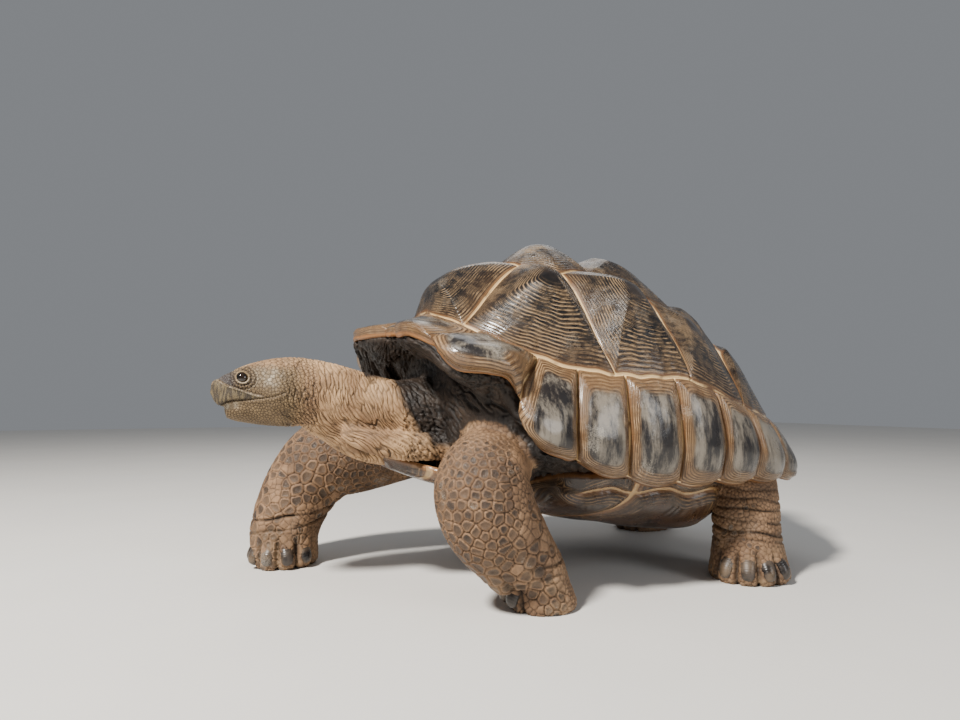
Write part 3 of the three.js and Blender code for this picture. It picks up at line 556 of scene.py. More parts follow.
RIM_SEAMS = both_sides(MARGINAL_SEAMS)
WRAPPED_SEAMS = np.concatenate([[RIM_SEAMS[-1] - 360], RIM_SEAMS, [RIM_SEAMS[0] + 360]])
SEAM_STOPS = stops(both_sides(MARGINAL_SEAMS + COSTAL_SEAMS + VERTEBRAL_ENDS), ARC_STEP)
RIM_STOPS = stops(RIM_SEAMS, ARC_STEP)


def arc_stops(start, stop, all_stops):
    low, high = min(start, stop), max(start, stop)
    turns = np.concatenate([all_stops - 360, all_stops, all_stops + 360])
    inside = turns[(turns > low + 1e-6) & (turns < high - 1e-6)]
    arc = np.concatenate([[low], inside, [high]])
    return arc if start < stop else arc[::-1]


def straight_seam(a, b):
    """A seam between two places of the disc, the same from either end, that strays a little."""
    forward = tuple(np.round(a, 6)) < tuple(np.round(b, 6))
    first, last = (a, b) if forward else (b, a)
    length = np.linalg.norm(last - first)
    count = max(6, int(length * DISC_REACH / OUTLINE_STEP))
    t = np.linspace(0, 1, count + 1)[:, None]
    line = mixed(first, last, t)
    aside = np.array([first[1] - last[1], last[0] - first[0]]) / length
    stray = wander(line, 11)[:, None] * np.minimum(1, 6 * np.minimum(t, 1 - t))
    line = line + aside * stray
    return line if forward else line[::-1]


def corner(name):
    r, azimuth = CORNERS[name.lstrip("-")]
    azimuth = 360 - azimuth if name.startswith("-") else azimuth
    on_ring = r == DOME_SEAM
    return on_ring, azimuth, seam_ring(np.array([azimuth]))[0] if on_ring else polar(r, azimuth)


def great_outline(names):
    parts = []
    for name, following in zip(names, names[1:] + names[:1]):
        on_ring, azimuth, at = corner(name)
        next_on_ring, next_azimuth, next_at = corner(following)
        if on_ring and next_on_ring:
            turn = (next_azimuth - azimuth + 180) % 360 - 180
            parts.append(seam_ring(arc_stops(azimuth, azimuth + turn, SEAM_STOPS))[:-1])
        else:
            parts.append(straight_seam(at, next_at)[:-1])
    return np.concatenate(parts)


def marginal_outline(start, stop):
    """The outline of a marginal, and how far its seam fades: 1 where it runs along the free rim."""

    def side(azimuth):
        return straight_seam(seam_ring(np.array([azimuth]))[0], polar(1.0, azimuth))

    inner, rim = seam_ring(arc_stops(start, stop, SEAM_STOPS)), polar(1.0, arc_stops(stop, start, RIM_STOPS))
    parts = [part[:-1] for part in (inner, side(stop), rim, side(start)[::-1])]
    across = np.linspace(0, 1, len(parts[2]))
    off_corner = eased(np.minimum(across, 1 - across), 0, 0.14)
    fades = [0, SIDE_SEAM, mixed(SIDE_SEAM, 1, off_corner), SIDE_SEAM]
    on_rim = [np.zeros(len(part)) + fade for part, fade in zip(parts, fades)]
    return np.concatenate(parts), np.concatenate(on_rim)


def centroid(outline):
    after = np.roll(outline, -1, axis=0)
    cross = outline[:, 0] * after[:, 1] - after[:, 0] * outline[:, 1]
    return ((outline + after) * cross[:, None]).sum(0) / (3 * cross.sum()), cross.sum()


SHELL_MARKS = ("share", "growth", "inset", "marginal", "inside")


def ridges(growth):
    """The relief of growth rings: 0 at every whole number, and a blunt crest between."""
    return np.abs(np.sin(np.pi * growth)) ** 0.7


def blurred(outline, share):
    """The outline with its corners rounded off."""
    reach = max(1, int(len(outline) * share))
    window = np.hanning(2 * reach + 1)
    window /= window.sum()
    around = np.arange(len(outline))[:, None] + np.arange(-reach, reach + 1)
    return np.einsum("k,pkc->pc", window, outline[around % len(outline)])


def add_scute(shell, outline, middle, peak, profile, rings, on_rim):
    """One scute: loops from its seam in to its first plate, each lifted off the dome."""
    if centroid(outline)[1] < 0:
        outline, on_rim = outline[::-1], on_rim[::-1]
    marginal = float(on_rim.any())
    first, last, crowding = INNER_LOOPS
    inward = np.linspace(first**crowding, last**crowding, rings["loops"]) ** (1 / crowding)
    shares = np.concatenate([SEAM_LOOPS, 1 - inward])
    soft = np.clip((1 - shares) * rings["rounding"] * 1.6, 0, 1)[:, None, None]
    loops = mixed(outline[None], blurred(outline, CORNER_BLUR)[None], soft)
    flat = (middle + (loops - middle) * shares[:, None, None]).reshape(-1, 2)
    base = dome(flat)
    share = np.repeat(shares, len(outline))
    edge = np.tile(base[: len(outline)], (len(shares), 1))
    inset = np.linalg.norm(base - edge, axis=1)
    waver = (0.5 + 0.16 * marginal) * noise(base, 55, 3) + 0.25 * noise(base, 19, 4)
    growth = rings["growth"] * (1 - share) + waver * eased(inset, 0, 25)
    fade = eased(share, *rings["ringed"]) * eased(inset, 2, 9)
    relief = rings["relief"] * ridges(growth) * fade * (0.75 + 0.6 * noise(base, 70, 8))
    lumps = 1.8 * noise(base, 85, 1) * eased(inset, 4, 30) + 0.4 * noise(base, 12, 2) * eased(inset, 2, 8)
    lift = peak * between(profile, share)[0] - GROOVE * (1 - eased(inset, 0, 7)) + relief + lumps
    points = (base + dome_normal(flat) * lift[:, None]) * MM
    seam_inset = inset + 16 * np.tile(on_rim, len(shares))
    marks = np.stack([share, growth, seam_inset, np.full_like(share, marginal), np.zeros_like(share)], 1)
    index = shell.bands(points.reshape(len(shares), -1, 3), marks)
    mark = np.array([0, rings["growth"], inset.max(), marginal, 0.0])
    shell.fan(index[-1], shell.add(points[-len(outline) :].mean(0), mark)[0])


def shell_thickness(r, azimuth):
    a = np.where(azimuth > 180, 360 - azimuth, azimuth)
    bridge = eased(a, 44, 62) * (1 - eased(a, 112, 132))
    rim = mixed(RIM_THICK, BRIDGE_THICK, bridge)
    return mixed(SHELL_THICK, rim, eased(r, DOME_SEAM, 1.0))


def add_inner_shell(shell):
    """The rounded rim and the inner face of the shell."""
    edge = polar(1.0, RIM_STOPS)
    normal, thickness = dome_normal(edge), shell_thickness(1.0, RIM_STOPS)
    top, under = dome(edge) - normal * GROOVE, dome(edge) - normal * thickness[:, None]
    outward = unit(dome(edge) - dome(polar(0.98, RIM_STOPS)))
    rings = []
    for turn in np.radians(RIM_TURNS):
        middle = (top + under) / 2 + (top - under) / 2 * math.cos(turn)
        rings.append(middle + outward * np.minimum(thickness * 0.3, 9)[:, None] * math.sin(turn))
    for r in INNER_RINGS:
        disc = polar(r, RIM_STOPS)
        streaks = 0.8 * noise(dome(disc), 26, 31) * eased(r, 0.6, 0.95)
        rings.append(dome(disc) - dome_normal(disc) * (shell_thickness(r, RIM_STOPS) + streaks)[:, None])
    rings = np.array(rings)[:, ::-1] * MM
    depth = np.repeat(np.linspace(0, 1, len(rings)), len(RIM_STOPS))
    zeros = np.zeros_like(depth)
    marks = np.stack([zeros, zeros, depth * INSIDE_DEPTH, zeros, np.minimum(1, depth * 6 + 0.1)], 1)
    index = shell.bands(rings, marks)
    crown = (dome(np.zeros((1, 2)))[0] - [0, 0, SHELL_THICK]) * MM
    shell.fan(index[-1], shell.add(crown, np.array([0, 0, INSIDE_DEPTH, 0, 1.0]))[0])


def add_great_scute(shell, names, peak, rise, forward=0.0):
    outline = great_outline(names)
    middle = centroid(outline)[0] * rise - [0, forward]
    add_scute(shell, outline, middle, peak, GREAT_PROFILE, GREAT_RINGS, np.zeros(len(outline)))


def carapace_mesh():
    shell = Patchwork()
    for number, (names, peak) in enumerate(zip(VERTEBRALS, VERTEBRAL_PEAKS)):
        add_great_scute(shell, names, peak, 1, FIRST_FORWARD if number == 0 else 0)
    for names, peak in zip(COSTALS, COSTAL_PEAKS):
        add_great_scute(shell, names, peak, COSTAL_RISE)
        add_great_scute(shell, tuple("-" + name for name in names), peak, COSTAL_RISE)
    swells = MARGINAL_SWELLS + [TAIL_SWELL] + MARGINAL_SWELLS[::-1] + [NUCHAL_SWELL]
    for start, stop, swell in zip(RIM_SEAMS, np.append(RIM_SEAMS[1:], RIM_SEAMS[0] + 360), swells):
        outline, on_rim = marginal_outline(start, stop)
        middle = centroid(outline)[0] * MARGINAL_DROP
        add_scute(shell, outline, middle, swell, MARGINAL_PROFILE, MARGINAL_RINGS, on_rim)
    add_inner_shell(shell)
    return shell.mesh("carapace_horn", SHELL_MARKS)


# ---------------------------------------------------------------- plastron form


def plastron_surface():
    """The underside without relief: share of the way to the side, half width, rise, points and normals."""
    y = np.arange(PLASTRON[0][0], PLASTRON[-1][0] + 1, PLASTRON_STEP)
    turn = np.linspace(-1, 1, PLASTRON_COLUMNS)
    share = np.tile(np.sign(turn) * (1 - (1 - np.abs(turn)) ** CROWDED_SIDES), (len(y), 1))
    y, half, low, rise = np.vstack([y, between(PLASTRON, y)])[:, :, None] * np.ones_like(share)
    points = np.stack([half * share, y, low + rise * np.abs(share) ** BRIDGE_CURVE], -1)
    outward = -unit(np.cross(np.gradient(points, axis=0), np.gradient(points, axis=1)))
    outward *= np.sign(-outward[..., 2:] + 1e-9)
    return share.ravel(), half.ravel(), rise.ravel(), points.reshape(-1, 3), outward.reshape(-1, 3)


def seam_gauge(share, half, rise, points):
    """How far each point of the underside is from the nearest seam."""
    aside = np.abs(share)
    sweep = eased(aside, 0.55, 1.0)
    gauge = np.abs(points[:, 0]) + 1.5
    for seam, back in zip(PLASTRON_SEAMS, PLASTRON_SEAM_SWEEP):
        line = seam + back * sweep + 7 * noise(points, 40, 21)
        gauge = np.minimum(gauge, np.abs(points[:, 1] - line) * (1 - 0.3 * sweep))
    to_side = rise * (1 - aside**BRIDGE_CURVE) + half * (1 - aside)
    wavy = BRIDGE_SEAM["below"] + BRIDGE_SEAM["wave"] * np.sin(points[:, 1] / BRIDGE_SEAM["long"])
    at_bridge = np.abs(to_side - wavy - 4 * noise(points, 30, 24))
    return np.minimum(gauge, mixed(to_side + 14, at_bridge, eased(rise, *BRIDGED)))


def plastron_plate(lower, upper, marks):
    """One closed plate between an underside and its upper side."""
    plate, edges = Patchwork(), []
    for side, order in ((lower, -1), (upper, 1)):
        marks[:, SHELL_MARKS.index("inside")] = side is upper
        grid = plate.add(side * MM, marks.copy()).reshape(-1, PLASTRON_COLUMNS)
        quads = [grid[:-1, :-1], grid[:-1, 1:], grid[1:, 1:], grid[1:, :-1]][::order]
        plate.quads.append(np.stack(quads, -1).reshape(-1, 4))
        edges.append(np.concatenate([grid[0, :-1], grid[:-1, -1], grid[-1, :0:-1], grid[:0:-1, 0]]))
    below, above = edges
    plate.quads.append(np.stack([below, np.roll(below, -1), np.roll(above, -1), above], -1))
    return plate


def plastron_mesh():
    """The belly plate, with its scutes, growth rings and bridges, and rounded edges."""
    share, half, rise, points, outward = plastron_surface()
    aside, y = np.abs(share), points[:, 1]
    gauge, bridged = seam_gauge(share, half, rise, points), eased(rise, *BRIDGED)
    growth = gauge / PLASTRON_RING + 0.4 * noise(points, 50, 22) + 0.15 * noise(points, 17, 25)
    relief = ridges(growth) * eased(gauge, 2, 8) * (1 - eased(gauge, 60, 110))
    swell = BRIDGE_SEAM["swell"] * bridged * eased(aside, 0.72, 0.93) * eased(gauge, 0, 34)
    lift = relief + swell - GROOVE * (1 + bridged) * (1 - eased(gauge, 0, 9)) + 2 * noise(points, 70, 23)
    ends = np.minimum(eased(y, y[0] - 1, y[0] + 22), eased(-y, -y[-1] - 1, -y[-1] + 22))
    lower = points + outward * (lift * (0.3 + 0.7 * ends))[:, None]
    lower[:, 2] -= 9 * eased(-y, 380, 470) * (1 - share**4) * ends
    lower[:, 2] += 6 * bridged * eased(aside, 0.97, 1.0)
    thick = PLASTRON_THICK * (1 - 0.4 * aside**6) * (0.6 + 0.4 * ends)
    middle_out = 0.15 + 0.85 * (1 - eased(gauge, 0, 42))
    marks = np.stack([middle_out, growth, gauge, np.zeros_like(gauge), np.zeros_like(gauge)], 1)
    upper = points + thick[:, None] * [0, 0, 1]
    return plastron_plate(lower, upper, marks).mesh("plastron_horn", SHELL_MARKS)


# ---------------------------------------------------------------- flesh form


def upright_rings(rows, sides):
    """Cross-sections that stand across the Y axis, wider or narrower above their widest line than below."""
    y, top, wide, low, half = rows
    up, side = np.sin(full_turn(sides)), np.cos(full_turn(sides))
    tall = np.where(up > 0, (top - wide)[:, None], (wide - low)[:, None])
    x = np.sign(side) * np.abs(side) ** 0.86 * half[:, None]
    z = wide[:, None] + np.sign(up) * np.abs(up) ** 0.94 * tall
    return np.stack([x, np.repeat(y[:, None], sides, 1), z], -1)


def neck_and_head_rings():
    table = np.array(NECK_AND_HEAD, float) * [-1, 1, 1, 1, 1]
    keys = np.interp(np.linspace(0, 1, NECK_RINGS), np.linspace(0, 1, len(table)), table[:, 0])
    return upright_rings(np.vstack([-keys, between(table, keys)]), 96)


def limb_path(stations, count):
    """Centres, half widths and half depths along a limb, rounded through its stations."""
    table = np.array(stations, float)
    chord = np.concatenate([[0], np.cumsum(np.linalg.norm(np.diff(table[:, :3], axis=0), axis=1))])
    return between(np.column_stack([chord, table]), np.linspace(0, chord[-1], count)).T


def limb_rings(stations, sides, level_below=0):
    path = limb_path(stations, LIMB_RINGS)
    centre = path[:, :3]
    level = (1 - eased(centre[:, 2], level_below * 0.8, level_below * 1.4))[:, None] if level_below else 0
    direction = unit(mixed(unit(np.gradient(centre, axis=0)), np.array([0, 0, -1.0]), level))
    across = unit(np.array([1.0, 0, 0]) - direction * direction[:, :1])
    back = np.cross(across, direction)
    turn = -full_turn(sides)
    ring = path[:, 3, None, None] * across[:, None] * np.cos(turn)[None, :, None]
    ring = ring + path[:, 4, None, None] * back[:, None] * np.sin(turn)[None, :, None]
    return centre[:, None] + ring


def shell_ceiling():
    """The inner face of the dome as something to measure against."""
    turn = np.arange(0, 360, 4.0)
    count, points = len(turn), []
    for r in CEILING_RINGS:
        disc = polar(r, turn)
        points.extend(dome(disc) - dome_normal(disc) * (shell_thickness(r, turn) + TRUNK["under"])[:, None])
    a = np.arange(len(points) - count)
    b = a - a % count + (a + 1) % count
    faces = np.stack([a, b, b + count, a + count], 1)
    return BVHTree.FromPolygons([tuple(point) for point in points], faces.tolist())


def trunk_floor(x, y):
    """The lowest the trunk may hang: over the underside of the plastron, and rising beside it."""
    half, low, rise = between(PLASTRON, y)
    share = np.minimum(1, np.abs(x) / half)
    beside = np.maximum(0, np.abs(x) - half)
    return low + rise * share**BRIDGE_CURVE + TRUNK["over"] + TRUNK["slope"] * beside


def ball_rings(sides):
    """Level rings of a ball of radius 1, from the lowest up."""
    tilt = np.pi * (np.arange(1, BALL_RINGS) / BALL_RINGS - 0.5)[:, None]
    x, y = np.cos(tilt) * np.cos(full_turn(sides)), np.cos(tilt) * np.sin(full_turn(sides))
    return np.stack([x, y, np.sin(tilt) * np.ones(sides)], -1)


def trunk_rings():
    """The body's bulk, held between the dome and the belly plate."""
    rings = ball_rings(120)
    rings = np.sign(rings) * np.abs(rings) ** (2 / TRUNK["square"]) * TRUNK["half"] + TRUNK["at"]
    ceiling, middle = shell_ceiling(), Vector(TRUNK["rays_from"])
    for place in rings.reshape(-1, 3):
        ray = Vector(place) - middle
        hit = ceiling.ray_cast(middle, ray.normalized())
        if hit[0] is not None and hit[3] < ray.length:
            place[:] = hit[0]
    flat = rings.reshape(-1, 3)
    reach = np.linalg.norm(flat[:, :2], axis=1)
    azimuth = np.degrees(np.arctan2(flat[:, 0], -flat[:, 1])) % 360
    limit = np.linalg.norm(dome(polar(TRUNK["reach"], np.arange(361.0)))[:, :2], axis=1)
    flat[:, :2] *= np.minimum(1, np.interp(azimuth, np.arange(361), limit) / reach)[:, None]
    flat[:, 2] = np.maximum(flat[:, 2], trunk_floor(flat[:, 0], flat[:, 1]))
    return rings


def curtain_rings(share, thick):
    """One roll of the loose skin that lines the front opening of the shell, following its edge."""
    azimuth = np.linspace(-CURTAIN_REACH, CURTAIN_REACH, 61)
    disc = polar(share, azimuth % 360)
    gap = shell_thickness(share, azimuth % 360) + 0.6 * thick
    centre = dome(disc) - dome_normal(disc) * gap[:, None]
    girth = thick * (1 + 0.25 * noise(centre, 60, 90)) * eased(CURTAIN_REACH - np.abs(azimuth), -8, 30)
    return limb_rings(np.column_stack([centre, girth, girth])[::-1], 28)


def voxel_mesh(patchwork):
    """One closed mesh from pieces that overlap."""
    piece = added("flesh", patchwork.mesh("flesh"))
    remesh = piece.modifiers.new("join", "REMESH")
    remesh.mode = "VOXEL"
    remesh.voxel_size = VOXEL * MM
    whole = piece.evaluated_get(bpy.context.evaluated_depsgraph_get())
    mesh = bpy.data.meshes.new_from_object(whole)
    bpy.data.objects.remove(piece)
    return mesh


@contextlib.contextmanager
def edited(mesh):
    work = bmesh.new()
    work.from_mesh(mesh)
    yield work
    work.to_mesh(mesh)
    work.free()


def drop_bubbles(mesh):
    """Takes out the small closed hollows that the join leaves inside the mesh."""
    with edited(mesh) as work:
        reached, waiting = set(), [max(work.verts, key=lambda vert: vert.co.z)]
        while waiting:
            vert = waiting.pop()
            if vert not in reached:
                reached.add(vert)
                waiting.extend(edge.other_vert(vert) for edge in vert.link_edges)
        bmesh.ops.delete(work, geom=[vert for vert in work.verts if vert not in reached], context="VERTS")


def refine(mesh, chosen):
    """Cuts every edge between chosen points in two."""
    with edited(mesh) as work:
        edges = [edge for edge in work.edges if all(chosen[vert.index] for vert in edge.verts)]
        bmesh.ops.subdivide_edges(work, edges=edges, cuts=1, use_grid_fill=True)


def leg_places(points):
    """For each leg, how far along it each point is and how far out, as a share of the leg's girth."""
    out = {}
    for name, leg in LEGS.items():
        path = limb_path(leg["path"], LEG_STATIONS)
        low, high = path[:, :3].min(0) - LEG_REACH, path[:, :3].max(0) + LEG_REACH
        near = np.flatnonzero(np.all((points > low) & (points < high), axis=1))
        place = points[near]
        best, along = np.full(len(near), FAR), np.zeros(len(near))
        for k, row in enumerate(path):
            aside = place - row[:3]
            gap = np.sqrt(np.einsum("ij,ij->i", aside, aside)) / (0.5 * (row[3] + row[4]))
            nearer = gap < best
            best[nearer] = gap[nearer]
            along[nearer] = k / (len(path) - 1)
        whole_best, whole_along = np.full(len(points), FAR), np.zeros(len(points))
        whole_best[near], whole_along[near] = best, along
        out[name] = (whole_along, whole_best)
    return out


def flesh_mesh():
    tubes = [neck_and_head_rings(), trunk_rings()]
    tubes += [limb_rings(leg["path"], 72, ANKLE) for leg in LEGS.values()]
    tubes.append(limb_rings(TAIL, 48))
    tubes += [curtain_rings(share, thick) for share, thick in CURTAIN]
    for fold, side in itertools.product(SKIN_FOLDS, (1, -1)):
        tubes.append(limb_rings([[side * x, *rest] for x, *rest in fold], 40))
    body = Patchwork()
    for rings in tubes:
        body.tube(rings * MM)
    mesh = voxel_mesh(body)
    drop_bubbles(mesh)
    smooth(mesh, FLESH_SMOOTHINGS)
    return mesh


def skin_mesh():
    """The flesh, finer where it is seen and finest on the head, with its scales and folds."""
    mesh = flesh_mesh()
    points = read(mesh) / MM
    legs = leg_places(points)
    seen = (points[:, 1] < FINE_FRONT) | ((points[:, 1] > FINE_REAR) & (points[:, 2] < FINE_UNDER))
    for along, out in legs.values():
        seen |= (out < FINE_LEG[0]) & (along > FINE_LEG[1])
    refine(mesh, seen)
    x, y, z = (read(mesh) / MM).T
    refine(mesh, (y < FINEST["front"]) & (np.abs(x) < FINEST["half"]) & (z > FINEST["over"]))
    smooth(mesh, SKIN_SMOOTHINGS)
    return dressed_skin(mesh)


# ---------------------------------------------------------------- scales and wrinkles


def tree_of(points):
    tree = KDTree(len(points))
    for i, p in enumerate(points):
        tree.insert(p, i)
    tree.balance()
    return tree


def scattered(points, spacing, rng, first):
    """Numbers of points that keep their own spacing from one another, the given ones before the rest."""
    tree = tree_of(points)
    free = np.ones(len(points), bool)
    order = np.lexsort((rng.random(len(points)), -np.round(spacing / 6)))
    chosen = []
    for i in itertools.chain((tree.find(p)[1] for p in first), order):
        if free[i]:
            chosen.append(i)
            near = [found[1] for found in tree.find_range(points[i], spacing[i])]
            free[near] = False
    return np.array(chosen)


def bisector_gap(seeds, found, column):
    """How far each point is from the border between its own cell and that of another seed."""
    own, other = seeds[found[:, 0].astype(int)], seeds[found[:, column].astype(int)]
    apart = np.maximum(np.linalg.norm(own - other, axis=1), 1e-6)
    return (found[:, column + 1] ** 2 - found[:, 1] ** 2) / (2 * apart)


class Scales:
    """Plates over part of the skin: for each point, how far it is from its plate's border, and the
    plate's own size and shade."""

    def __init__(self, points, spacing, where, seed, first=(), even=False):
        self.border = np.full(len(points), 99.0)
        self.size = np.ones(len(points))
        self.shade = np.zeros(len(points))
        chosen = np.flatnonzero(where)
        local = points[chosen]
        rng = np.random.default_rng(SEED + seed)
        picked = scattered(local, spacing[chosen], rng, first)
        seeds = local[picked]
        if even:
            own = np.array([found[1] for found in map(tree_of(seeds).find, local)])
            count = np.bincount(own, minlength=len(seeds))[:, None]
            total = np.stack([np.bincount(own, local[:, k], len(seeds)) for k in range(3)], 1)
            seeds = np.where(count > 3, total / np.maximum(count, 1), seeds)
        tree = tree_of(seeds)
        found = np.array([[part for hit in tree.find_n(p, 3) for part in hit[1:]] for p in local])
        own = found[:, 0].astype(int)
        gaps = [bisector_gap(seeds, found, column) for column in (2, 4)]
        soft = 0.06 * spacing[chosen][picked][own]
        self.border[chosen] = -soft * np.log(np.exp(-gaps[0] / soft) + np.exp(-gaps[1] / soft))
        self.size[chosen] = spacing[chosen][picked][own]
        self.shade[chosen] = rng.random(len(picked))[own]

    def plate(self, groove):
        """0 in the grooves between plates and 1 on the plates, for grooves of a given width."""
        return eased(self.border, 0, groove)

    def cushion(self):
        """0 at the border and 1 in the middle, rounded like a pad."""
        t = np.clip(self.border / (0.42 * self.size), 0, 1)
        return 1 - (1 - t) ** 2


def creases(points, size, seed, reach):
    """0 along wandering creases about twice as far apart as the size, rising to 1 away from them."""
    return eased(np.abs(layered_noise(points, size, seed)), 0, reach)


# ---------------------------------------------------------------- face


def eye_distance(points):
    """How far each point is from the nearer eye's axis, looking straight at the eye from the side."""
    return np.hypot(points[:, 1] - EYE["y"], (points[:, 2] - EYE["z"]) * EYE["squash"])


def with_face_front(points):
    """The points with the beak's hooked front, and the lower jaw drawn back under it."""
    y, z = points[:, 1], points[:, 2]
    jaw = JAW_FRONT + 0.25 * np.maximum(0, CHIN - z)
    limit = mixed(curve(FACE_FRONT, z), jaw, eased(curve(MOUTH_LINE, y) - z, -0.5, 1.5))
    points[:, 1] = y + 0.93 * np.maximum(0, limit - y)
    return points


def face_form(points, normals, eye):
    """Heights in millimetres that shape the face, and its masks."""
    x, y, z = np.abs(points[:, 0]), points[:, 1], points[:, 2]
    side = eased(np.abs(normals[:, 0]), 0.25, 0.6)
    above = z - curve(MOUTH_LINE, y)
    mouth_on = eased(-y, 740, 762)
    forward = eased(-y, 800, 850)
    outside = x > 12

    lift = 2.5 * bump(y + 876, 10) * bump(z - 420, 9)
    for rise, at_y, reach_y, at_z, reach_z in FACE_SWELLS:
        lift += rise * bump(y - at_y, reach_y) * bump(z - at_z, reach_z) * side

    edge = z - curve(BEAK_TOP, y)
    on_edge = eased(-y, 784, 796) * outside
    lift += 1.5 * bump(edge, 2.2) * on_edge - 1.3 * bump(edge - 4.2, 2.0) * on_edge
    upper = eased(above, -0.5, 1.0) * (1 - eased(edge, -1.5, 1.0)) * eased(-y, 788, 800)
    chin = 1 - eased(-above - 20 * eased(-y, 812, 852), -7, 2)
    lower = eased(-above, 0.5, 2) * chin * eased(-y, 812, 835)
    beak = np.maximum(0.92 * upper, 0.55 * lower)
    bars = np.sin(y * 1.5 + x * 0.9 + 3.5 * noise(points * [1, 1, 0.3], 11, 55))
    lift += (0.4 + 0.35 * bars) * upper + (0.2 + 0.2 * bars) * lower
    lift -= 1.6 * bump(above - 1.5, 3.2) * np.maximum(0, bars) * eased(-y, 815, 835)

    lift -= (2.0 + 1.4 * forward) * bump(above, 1.2 + 0.5 * forward) * mouth_on
    lift += 1.6 * eased(above, 0.5, 4) * (1 - eased(above, 10, 24)) * forward * mouth_on
    lift -= 1.6 * eased(-above, 0.5, 4) * (1 - eased(-above, 10, 22)) * forward * mouth_on
    lift += 1.3 * bump(above + 5, 3) * mouth_on * (1 - forward)

    gap = np.hypot(x - NOSTRIL["x"], (z - NOSTRIL["z"]) * 1.1)
    snout = y < SNOUT_FROM
    lift += snout * (bump(gap - 5, 1.6) - NOSTRIL["deep"] * (1 - eased(gap, *NOSTRIL["open"])))

    lids = 4.0 * bump(eye - 12.2, 3.0) - 1.5 * bump(eye - 15.9, 1.0)
    lids += 2.4 * bump(eye - 19.5, 4.2) - 1.0 * bump(eye - 24.4, 1.2) + 1.0 * bump(eye - 26.8, 1.6)
    lift += np.where(x > 18, lids * eased(eye, 7.8, 9.6), 0)
    slate = eased(-y, 834, 852) * eased(edge, 2, 6)
    # Painted shade: dark in the mouth line, in the groove along the beak's edge and in the nostrils
    mouth = (0.5 + 0.5 * forward) * np.clip(bump(above, 1.3 + 0.6 * forward), 0, 1) * mouth_on
    mouth = np.maximum(mouth, 0.55 * bump(edge - 4.2, 1.4) * on_edge)
    mouth = np.maximum(mouth, (1 - eased(gap, 2.4, 4.2)) * snout)
    return lift, beak * eased(gap, 3, 6), slate, mouth


def sunk_round_eyes(points, eye):
    """Lays the skin in each eye's opening just under the eyeball."""
    inside = (points[:, 1] < EYES_FROM) & (np.abs(points[:, 0]) > 20) & (eye < EYE["opening"])
    y, z = points[:, 1] - EYE["y"], points[:, 2] - EYE["z"]
    under = EYE["radius"] - 0.8
    depth = EYE["x"] + np.sqrt(np.maximum(under**2 - y**2 - z**2, 0))
    side = np.sign(points[:, 0]) * np.minimum(np.abs(points[:, 0]), depth)
    points[:, 0] = np.where(inside, side, points[:, 0])
    return points


# ---------------------------------------------------------------- feet


def toe_places(points, leg):
    """For each point near a foot, its angle from the nearest toe and whether it faces the toes."""
    x, y = leg["path"][-2][:2]
    turn = math.radians(leg["toes"])
    dx, dy = points[:, 0] - x, points[:, 1] - y
    ahead = dx * math.sin(turn) - dy * math.cos(turn)
    aside = dx * math.cos(turn) + dy * math.sin(turn)
    angle = np.degrees(np.arctan2(aside, ahead))
    last = (leg["claws"] - 1) / 2
    nearest = np.clip(np.round(angle / TOE_SPACING + last), 0, leg["claws"] - 1) - last
    off = angle - nearest * TOE_SPACING
    facing = 1 - eased(np.abs(angle), (last + 0.5) * TOE_SPACING, (last + 0.9) * TOE_SPACING)
    return off, facing


def toe_turns(leg):
    """Which way each toe points, from straight ahead towards the animal's left."""
    places = np.arange(leg["claws"]) - (leg["claws"] - 1) / 2
    return np.radians(leg["toes"] + places * TOE_SPACING)


def toe_scale_places():
    """Where the large scale over each claw lies."""
    places = []
    for leg in LEGS.values():
        x, y, _, wide, deep = leg["path"][-3]
        for turn in toe_turns(leg):
            ahead = (math.sin(turn), -math.cos(turn))
            reach = 1 / math.hypot(ahead[0] / wide, ahead[1] / deep)
            places.append((x + ahead[0] * reach, y + ahead[1] * reach, TOE_SCALE_HIGH))
    return np.array(places)


def foot_form(points, legs):
    """Toes with grooves between them, in millimetres, and where the grooves lie, for painted shade."""
    lift, deep = np.zeros((2, len(points)))
    for name, leg in LEGS.items():
        along, out = legs[name]
        here = (out < 1.7) & (along > 0.5)
        off, facing = toe_places(points, leg)
        low = (1 - eased(points[:, 2], *TOE_TOP)) * facing * here
        groove = bump(np.abs(off) - TOE_SPACING / 2, 3.4) * low
        swell = TOE_SWELL * low * (1 - (np.abs(off) / TOE_HALF) ** 2 * 0.9)
        lift += swell * bump(points[:, 2] - 34, 30) - TOE_GROOVE * groove
        deep = np.maximum(deep, groove)
    return lift, deep


# ---------------------------------------------------------------- skin over the whole body

SKIN_MARKS = ("plate", "core", "scaly", "shade_and_dark_skin", "beak", "pale", "crease_shade", "slate", "face")


def along_shell_edge(points):
    """Points with their run along the front edge of the shell drawn short, for folds parallel to it."""
    place = points.copy()
    place[:, 0] = np.abs(place[:, 0])
    run = unit(np.array(EDGE_RUN))
    return place - run * (place @ run * 0.84)[:, None]


def cracks(points, size, seed, width):
    """1 along thin wandering lines about as far apart as the size, falling to 0 beside them."""
    return 1 - eased(np.abs(noise(points, size, seed)), 0, width)


